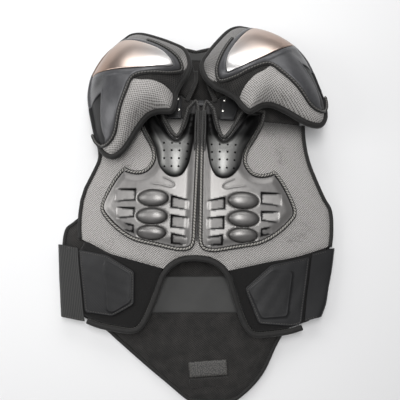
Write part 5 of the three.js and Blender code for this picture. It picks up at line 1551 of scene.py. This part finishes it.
# The band beyond the slot is painted shade: a dull near-black material, so it stays dark against the pewter.
painted_shade_band_shell, tree, shader = new_material("polypropylene_band_painted_shade_black", Roughness=0.5, IOR=1.49,
                                         Specular_IOR_Level=0.2)
haze = add_node(tree, "TexNoise", values={"Scale": 60.0, "Detail": 3.0})
add_node(tree, "ValToRGB", links={0: haze}, stops=((0, "0D0D0E"), (1, "1B1B1C")), to="Base Color")

shell_body = shrink(shell_outline, BEAD_WIDTH + 0.8)
metal_outline = closed_trace(on_cup(METAL_EDGE), 3)
slot_line = trace(SLOT, 1.6)
outer_band = np.vstack([slot_line, [(215, -20), (240, 60), (180, 130), (118, 110)]])
notch_line = trace(NOTCH, 1.6)
tip_side = np.vstack([notch_line, [(240, 100), (240, -40), (116, -40)]])


def pad_smooth(a, b):
    return pad_middle(a, b) + CUP_WALL / 2


def shell_under(a, b):
    """The shell's inside: over the pad, and on its outer side wrapped over the rolled tape."""
    over_pad = pad_smooth(a, b) + SHELL_GAP
    from_rim = away_from(rim_line, a, b) * np.where(is_inside(rim_line, a, b), 1, -1)
    roll = np.sqrt(np.clip(1 - ((from_rim - RIM_TAPE / 2) / (RIM_TAPE * 0.65)) ** 2, 0.05, 1))
    over_tape = rim_height(a, b) + SHELL_GAP + RIM_TAPE_HEIGHT / 2 * roll
    over_both = (over_pad + over_tape + np.sqrt((over_pad - over_tape) ** 2 + 4)) / 2
    near = 1 - ease(9, 20, from_rim)
    return over_pad * (1 - near) + over_both * near


def beyond(line, region, a, b):
    """Distance from a line, negative outside the region on its far side."""
    return away_from(line, a, b, closed=False) * np.where(is_inside(region, a, b), 1, -1)


def shell_relief(a, b):
    """What the mould adds to the dome: a border round the metal plate, the scoop, an outer band that drops
    behind the slot, and a step across that band."""
    metal = away_from(metal_outline, a, b)
    outside = ~is_inside(metal_outline, a, b)
    border = 1.3 * (1 - ease(8.5, 11, metal)) * outside - 1.2 * np.exp(-((metal - 0.6) / 0.9) ** 2) * outside
    scoop = SCOOP_DEPTH * np.exp(-(np.hypot(a - SCOOP[0], b - SCOOP[1]) / 12) ** 2) * ease(0, 5, metal)
    slot, along = beyond(slot_line, outer_band, a, b), np.clip((a - 128) / 52, 0, 1)
    notch = beyond(notch_line, tip_side, a, b)
    fall = ease(-0.2, 1.3, slot) * (1 - 0.5 * ease(4, 30, slot)) * (1 - along ** 3)
    drop = SLOT_DEPTH * fall * ease(-0.6, 1.2, notch)
    lip = 0.7 * np.exp(-((slot + 1.2) / 1.1) ** 2) * (1 - along ** 2)
    return border - scoop - drop + lip


def shell_face(a, b):
    edge = away_from(shell_body, a, b)
    return (shell_under(a, b) + SHELL_THICKNESS * (0.25 + 0.75 * bulge(edge / 3))
            + shell_relief(a, b) * ease(0, 6, edge))


def shell_inside(a, b):
    """The inside, kept below the face where the outer band drops."""
    return np.minimum(shell_under(a, b), shell_face(a, b) - 0.7)


shell_rows = shrunk(shell_body, 0.6, 1.6, 3.2)
shell_rows += [beside(slot_line, reach) for reach in (-2.4, -1.2, -0.4, 0.3, 0.9, 1.5, 2.6)]
shell_rows += [beside(notch_line, reach) for reach in (-2.4, -1.2, -0.3, 0.4, 1.1, 1.8, 3)]
shell_rows += shrunk(metal_outline, -0.6, -1.8, -3, -9, -11, -13)
shell_rows = [line[is_inside(shell_body, line[:, 0], line[:, 1])] for line in shell_rows]
shell_plan = net(shell_body, 2.4, rows=clear_of(shell_rows, [shell_body], 0.45))


def shell_painted_shade(a, b):
    """Painted shade: the outer band beyond the slot, the scoop and the groove round the plate."""
    slot, notch = beyond(slot_line, outer_band, a, b), beyond(notch_line, tip_side, a, b)
    band = (0.95 - 0.35 * ease(2, 26, slot)) * ease(-0.1, 0.9, slot) * ease(-0.4, 0.8, notch)
    scoop = 0.75 * np.exp(-(np.hypot(a - SCOOP[0], b - SCOOP[1]) / 13) ** 2)
    groove = 0.85 * np.exp(-((away_from(metal_outline, a, b) - 0.5) / 0.8) ** 2)
    return np.max([band, scoop, groove], 0)


# Aluminium sheet, brushed lengthwise and warm-tinted by its anodising: white where a reflection of the
# lamp is painted, rosy brown towards the arm, with fine parallel scratches.
# The painted reflection turns to the brown tint over this length.
REFLECTION_AND_TINT_RUN = 120  # the tint turns from white to brown over this length
brushed_aluminium, tree, shader = new_material("brushed_anodised_aluminium_warm", Metallic=1.0, Roughness=0.3)
cut = add_node(tree, "UVMap", uv_map="cut")
lengthwise = add_node(tree, "Mapping", links={"Vector": cut},
                      values={"Scale": (0.02, 2.2, 1), "Rotation": (0, 0, -0.7)})
scratches = add_node(tree, "TexNoise", links={"Vector": lengthwise},
                     values={"Scale": 1.0, "Detail": 4.0, "Roughness": 0.6})
across_plate = add_node(tree, "Mapping", links={"Vector": cut},
                        values={"Scale": (1 / REFLECTION_AND_TINT_RUN, 1 / REFLECTION_AND_TINT_RUN, 1), "Rotation": (0, 0, -0.95),
                                "Location": (-0.15, 0, 0)})
reflection_and_tint = add_node(tree, "SeparateXYZ", links={0: across_plate})
add_node(tree, "ValToRGB", links={0: reflection_and_tint.outputs["X"]},
         stops=((0.1, "FAF8F6"), (0.95, "A98F7F"), (0.5, "E6D6CC")), to="Base Color")
add_node(tree, "MapRange", links={"Value": scratches}, values={"To Min": 0.22, "To Max": 0.42},
         to="Roughness")
add_node(tree, "Bump", links={"Height": scratches}, values={"Strength": 0.1, "Distance": 0.0002},
         to="Normal")

METAL_THICKNESS = 1.5


def metal_under(a, b):
    return shell_under(a, b) + SHELL_THICKNESS + SHELL_GAP


def metal_face(a, b):
    edge = away_from(metal_outline, a, b)
    return metal_under(a, b) + METAL_THICKNESS * (0.3 + 0.7 * bulge(edge / 1.3)) + 0.5 * ease(0, 20, edge)


metal_rows = clear_of(shrunk(metal_outline, 0.5, 1.3, 3), [metal_outline], 0.4)
metal_plan = net(metal_outline, 3.2, rows=metal_rows)

# A length of the shell's outline, by distance from the neck tip, that the taped cord follows.
BEAD_START = -92
BEAD_END = 246
bead_loop = shrink(shell_outline, BEAD_WIDTH / 2)
bead_ring = np.vstack([bead_loop, bead_loop[:1]])
bead_travel = travelled(bead_ring)
bead_marks = np.arange(BEAD_START, BEAD_END, 1.0) % bead_travel[-1]
bead_line = np.stack([np.interp(bead_marks, bead_travel, bead_ring[:, k]) for k in (0, 1)], 1)


def in_band(a, b):
    """The band beyond the slot, which gets the near-black material as painted shade."""
    return (beyond(slot_line, outer_band, a, b) > 0.5) & (beyond(notch_line, tip_side, a, b) > 0.3)


for seat in CUP_SEATS:
    made = cup_pad("shoulder_shell_moulded", seat, shell_plan, shell_inside, shell_face, satin_shell,
                   sharp=55)
    recolour(made, painted_shade_band_shell, in_band)
    add_shade_and_dye(made, shell_painted_shade(*plan_points(made)))
    on_body(made, "hard_shell", f"shoulder_shell_{seat[0]}")
    made = cup_pad("shoulder_plate_brushed", seat, metal_plan, metal_under, metal_face, brushed_aluminium,
                   sharp=60)
    on_body(made, "brushed_plate", f"shoulder_plate_{seat[0]}")
    rest = shell_under(*bead_line.T) + 1.2
    tape = at_height(bead_line, rest)[::3]
    made = cup_sweep("shoulder_piping_tape", seat, tape, oval(BEAD_WIDTH + 2.4, 2.6, 10, 0.6), binding_tape)
    on_body(made, "binding_tape", f"shoulder_piping_{seat[0]}")
    cord = at_height(bead_line, rest + 2.2)
    made = cup_sweep("shoulder_piping_cord", seat, cord, whipped(2.2, 2.4), whipped_cord)
    # The shoulder cord is dyed darker all over.
    add_shade_and_dye(made, np.full(len(made.data.vertices), 0.7))
    on_body(made, "binding_tape")

# ----------------------------------------------------------------------
# Shoulder gussets. A folded strip of black mesh that stands on each strap and carries the neck end of
# its cup.
GUSSET_EDGE = [(0.06, 0.01), (0, 0.1), (-0.035, 0.2), (-0.06, 0.32)]
GUSSET_THICKNESS = 3
gusset_line = trace(on_cup(GUSSET_EDGE), 2.5)


def ring_faces(count, sides, turned_over):
    """Faces of a closed form with a number of rings, each with the same number of points."""
    faces = [(r + s, r + (s + 1) % sides, r + sides + (s + 1) % sides, r + sides + s)
             for r in range(0, (count - 1) * sides, sides) for s in range(sides)]
    faces += [tuple(reversed(range(sides))), tuple((count - 1) * sides + s for s in range(sides))]
    return [f[::-1] for f in faces] if turned_over else faces


for seat in CUP_SEATS:
    ground = to_world(seat)(at_height(gusset_line, 0))
    x, y = to_front(ground[:, 0], ground[:, 1])
    foot = strap_lower(x, y) + STRAP_PADDING + 1.8
    head = pad_middle(*gusset_line.T) - CUP_WALL / 2 - 2.0
    rings = []
    shares = np.linspace(0, 1, 9)
    normal = unit(np.gradient(gusset_line, axis=0)[:, ::-1] * [1, -1])
    for i, (a, b) in enumerate(gusset_line):
        ring = []
        for face_side, order in ((0.5, shares), (-0.5, shares[::-1])):
            for t in order:
                belly = 0.35 + 0.65 * math.sin(math.pi * t) ** 0.5 if 0 < t < 1 else 0.35
                fold = 0.9 * math.sin(2 * math.pi * t + 0.25 * i)
                reach = face_side * GUSSET_THICKNESS * belly + fold * 0.4
                ring.append((a + normal[i, 0] * reach, b + normal[i, 1] * reach,
                             foot[i] + (head[i] - foot[i]) * t))
        rings.append(ring)
    sides, count = len(rings[0]), len(rings)
    faces = ring_faces(count, sides, seat[1] < 0)
    body = np.array(rings).reshape(-1, 3)
    maps = np.column_stack([np.repeat(np.arange(count) * 2.5, sides), body[:, 2]])
    made = make_piece(f"shoulder_gusset_folded_mesh_{seat[0]}", to_world(seat)(body), faces, spacer_mesh,
                      maps)
    on_body(made, "black_mesh", f"shoulder_gusset_{seat[0]}")

# ----------------------------------------------------------------------
# Waist belt. Each end folds round the edge of a wing: ribbed woven elastic on the left, coated
# webbing on the right.
BELT_REACH = 246
BELT_THICKNESS = 2
BELT_POINTS = 34  # along the belt, from its inner end to the end folded under
HEM_POINTS = 16  # of them on the face, which show their stitching
# piece, node, slot, side, slant, then rows of share down, share to the inner end, share to the fold
BELTS = [
    ("belt_elastic_ribbed_left", "belt_elastic_left", "woven_elastic", -1, 0.19,
     [(-0.34, 0.85, 0.997), (-0.47, 0.832, 0.986), (-0.6, 0.815, 0.976), (-0.7, 0.802, 0.966),
      (-0.8, 0.79, 0.957), (-0.9, 0.775, 0.947)]),
    ("belt_strap_coated_right", "belt_strap_right", "coated_webbing", 1, 0.24,
     [(-0.372, 0.77, 0.945), (-0.47, 0.755, 0.93), (-0.57, 0.742, 0.912), (-0.68, 0.725, 0.888),
      (-0.8, 0.712, 0.866), (-0.9, 0.702, 0.83)]),
]

# Woven polyester elastic: charcoal, with rubber-cored ribs 1.5 mm apart in life and 3 mm here, and
# a slight lustre on each rib.
RIB_PITCH = 3.0
ribbed_elastic, tree, shader = new_material("woven_ribbed_elastic_charcoal", Roughness=0.72, IOR=1.5,
                                            Sheen_Weight=0.1, Specular_IOR_Level=0.3)
cut = add_node(tree, "UVMap", uv_map="cut")
ribs = add_node(tree, "TexWave", links={"Vector": cut},
                values={"Scale": 0.314 / RIB_PITCH, "Distortion": 0.25, "Detail": 1.0})
picks = add_node(tree, "TexWave", links={"Vector": cut}, values={"Scale": 0.314 / 1.4, "Distortion": 0.5},
                 bands_direction="Y")
woven = add_node(tree, "Math", operation="MULTIPLY_ADD",
                 links={0: picks.outputs["Fac"], 2: ribs.outputs["Fac"]}, values={1: 0.35})
add_node(tree, "ValToRGB", links={0: woven}, stops=((0.15, "1E1E1E"), (1.1, "3E3E3D")), to="Base Color")
add_node(tree, "Bump", links={"Height": woven}, values={"Strength": 0.7, "Distance": 0.0006}, to="Normal")

# PVC-coated polyester webbing, calendered: black and smooth, with a soft shine and the faint print of
# its yarns.
coated_webbing, tree, shader = new_material("calendered_pvc_webbing_black", Roughness=0.5, IOR=1.53,
                                            Specular_IOR_Level=0.3)
cut = add_node(tree, "UVMap", uv_map="cut")
yarns = add_node(tree, "TexWave", links={"Vector": cut},
                 values={"Scale": 0.314 / 2.2, "Distortion": 1.5, "Detail": 2.0},
                 bands_direction="DIAGONAL")
handled = add_node(tree, "TexNoise", links={"Vector": cut}, values={"Scale": 0.03, "Detail": 5.0})
add_node(tree, "ValToRGB", links={0: handled}, stops=((0, "131314"), (1, "222223")), to="Base Color")
add_node(tree, "Bump", links={"Height": yarns.outputs["Fac"]},
         values={"Strength": 0.25, "Distance": 0.0003}, to="Normal")


def wing_edge(side, y):
    """How far the back panel's wing reaches at a height."""
    far = 0
    for p, q in zip(back_outline, np.roll(back_outline, -1, 0)):
        if (p[1] > y) != (q[1] > y):
            far = max(far, side * (p[0] + (q[0] - p[0]) * (y - p[1]) / (q[1] - p[1])))
    return far


def loop_top(x, y):
    return front_lower(x, y) + LOOP_THICKNESS


for name, node, slot_name, side, slant, rows in BELTS:
    rows = trace([(up * LOOP_REACH, inner * BELT_REACH, fold * BELT_REACH) for up, inner, fold in rows], 3)
    outer_rings, inner_rings, girths = [], [], []
    for y, inner, fold in rows:
        wing = max(wing_edge(side, y + step) for step in (-12, -6, 0, 6, 12)) + 0.6
        rest = max(float(loop_top(*to_front(side * inner, y - slip))) for slip in (0, slant * (fold - inner)))
        wave = 0.6 * math.sin(y / 17.0)
        line = [(inner, rest + PLATE_SEAT + 1), (fold - 10, 21.5 + wave), (fold - 3.5, 18.5),
                (fold - 1, 11), (fold - 3.5, 4.5), (wing + max(fold - 3.5 - wing, 1) * 0.5, 1.8), (wing, 1.5)]
        line = trace(line, 2.2)
        line = line[np.linspace(0, len(line) - 1, BELT_POINTS).round().astype(int)]
        along = unit(np.gradient(line, axis=0))
        over_front = np.clip((fold - line[:, 0]), 0, None) * (line[:, 1] > 15)
        for rings, reach in ((outer_rings, 1), (inner_rings, -1)):
            x = line[:, 0] - along[:, 1] * reach * BELT_THICKNESS / 2
            z = line[:, 1] + along[:, 0] * reach * BELT_THICKNESS / 2
            rings.append(np.column_stack([side * x, y - slant * over_front, z]))
        girths.append(travelled(line))
    body, maps = [], []
    for outer, inner, girth, row in zip(outer_rings, inner_rings, girths, rows):
        body += [*outer, *inner[::-1]]
        maps += [(along, row[0]) for along in (*girth, *girth[::-1])]
    faces = ring_faces(len(rows), 2 * len(girths[0]), side > 0)
    look = ribbed_elastic if side < 0 else coated_webbing
    belt = make_piece(name, body, faces, look, maps, sharp=50)
    on_body(belt, slot_name, node)
    ends = [outer_rings[0], outer_rings[-1]]
    hems = [ring[:HEM_POINTS] + (0, 2.5 * way, 0.25) for ring, way in zip(ends, (-1, 1))]
    sew(f"{name}_stitches", hems, slot_name)
    width = float(rows[0][0] - rows[-1][0])
    length = float(np.mean([girth[-1] for girth in girths]))

# ----------------------------------------------------------------------
# Belt tabs. Die-cut pads of coated webbing with a welded panel of thicker PVC, stitched round their
# edges; hook tape on their backs grips the loop panels. The welded panels are left plain.
BELT_TAB_THICKNESS = 2.5
# side, its sign, then the outlines of the tab and of its welded panel: shares out and up
BELT_TABS = [
    ("left", -1,
     [(0.838, -0.385), (0.775, -0.87), (0.585, -0.9), (0.443, -0.81), (0.443, -0.56), (0.638, -0.43)],
     [(0.655, -0.49), (0.625, -0.86), (0.585, -0.872), (0.463, -0.79), (0.463, -0.575), (0.62, -0.475)]),
    ("right", 1,
     [(0.755, -0.445), (0.68, -0.955), (0.618, -0.975), (0.39, -0.955), (0.3, -0.69), (0.48, -0.51)],
     [(0.63, -0.56), (0.585, -0.9), (0.41, -0.915), (0.325, -0.695), (0.485, -0.545)]),
]


def corner_line(rows, side, round_by):
    """A polygon of table rows with its corners rounded."""
    points = np.array([(side * out * BELT_REACH, up * LOOP_REACH) for out, up in rows])
    line = []
    for before, here, after in zip(np.roll(points, 1, 0), points, np.roll(points, -1, 0)):
        a = here + (before - here) / np.linalg.norm(before - here) * round_by
        b = here + (after - here) / np.linalg.norm(after - here) * round_by
        line += [a * (1 - t) ** 2 + here * 2 * t * (1 - t) + b * t ** 2 for t in (0, 0.25, 0.5, 0.75, 1)]
    closed = np.vstack([line, line[:1]])
    return trace(closed, 3, corners=range(1, len(closed) - 1))[:-1]


for word, side, edge, panel in BELT_TABS:
    tab_line, panel_line = corner_line(edge, side, 5), corner_line(panel, side, 6)

    def under(x, y):
        return loop_top(*to_front(x, y)) + PLATE_SEAT

    def face(x, y):
        """The tab's face: edges pressed down along the stitching, the welded panel a little proud."""
        rim = away_from(tab_line, x, y)
        weld = away_from(panel_line, x, y) * np.where(is_inside(panel_line, x, y), 1, -1)
        rise = 1.2 * ease(-0.3, 0.5, weld) - 0.5 * np.exp(-((weld - 2.6) / 0.8) ** 2)
        channel = 0.6 * np.exp(-((rim - 3.2) / 1.0) ** 2)
        body = BELT_TAB_THICKNESS * (0.3 + 0.7 * bulge(rim / 1.5))
        return under(x, y) + body + rise - channel + 0.3 * ripple(x, y, 43, 8)

    rows = shrunk(tab_line, 0.5, 1.5, 2.6, 3.8) + shrunk(panel_line, -0.5, 0.5, 1.8, 3.4)
    tab_net = net(tab_line, 3.5, rows=clear_of(rows, [tab_line], 0.4))
    made = pad(f"belt_tab_coated_{word}", tab_net, under, face, coated_webbing)
    recolour(made, soft_pvc, lambda x, y: is_inside(panel_line, x, y))
    on_body(made, "coated_webbing", f"belt_tab_{word}")
    seam = shrink(tab_line, 3.2)
    seam = at_height(seam, face(*seam.T) + 0.25)
    sew(f"belt_tab_stitches_{word}", [seam], "coated_webbing")
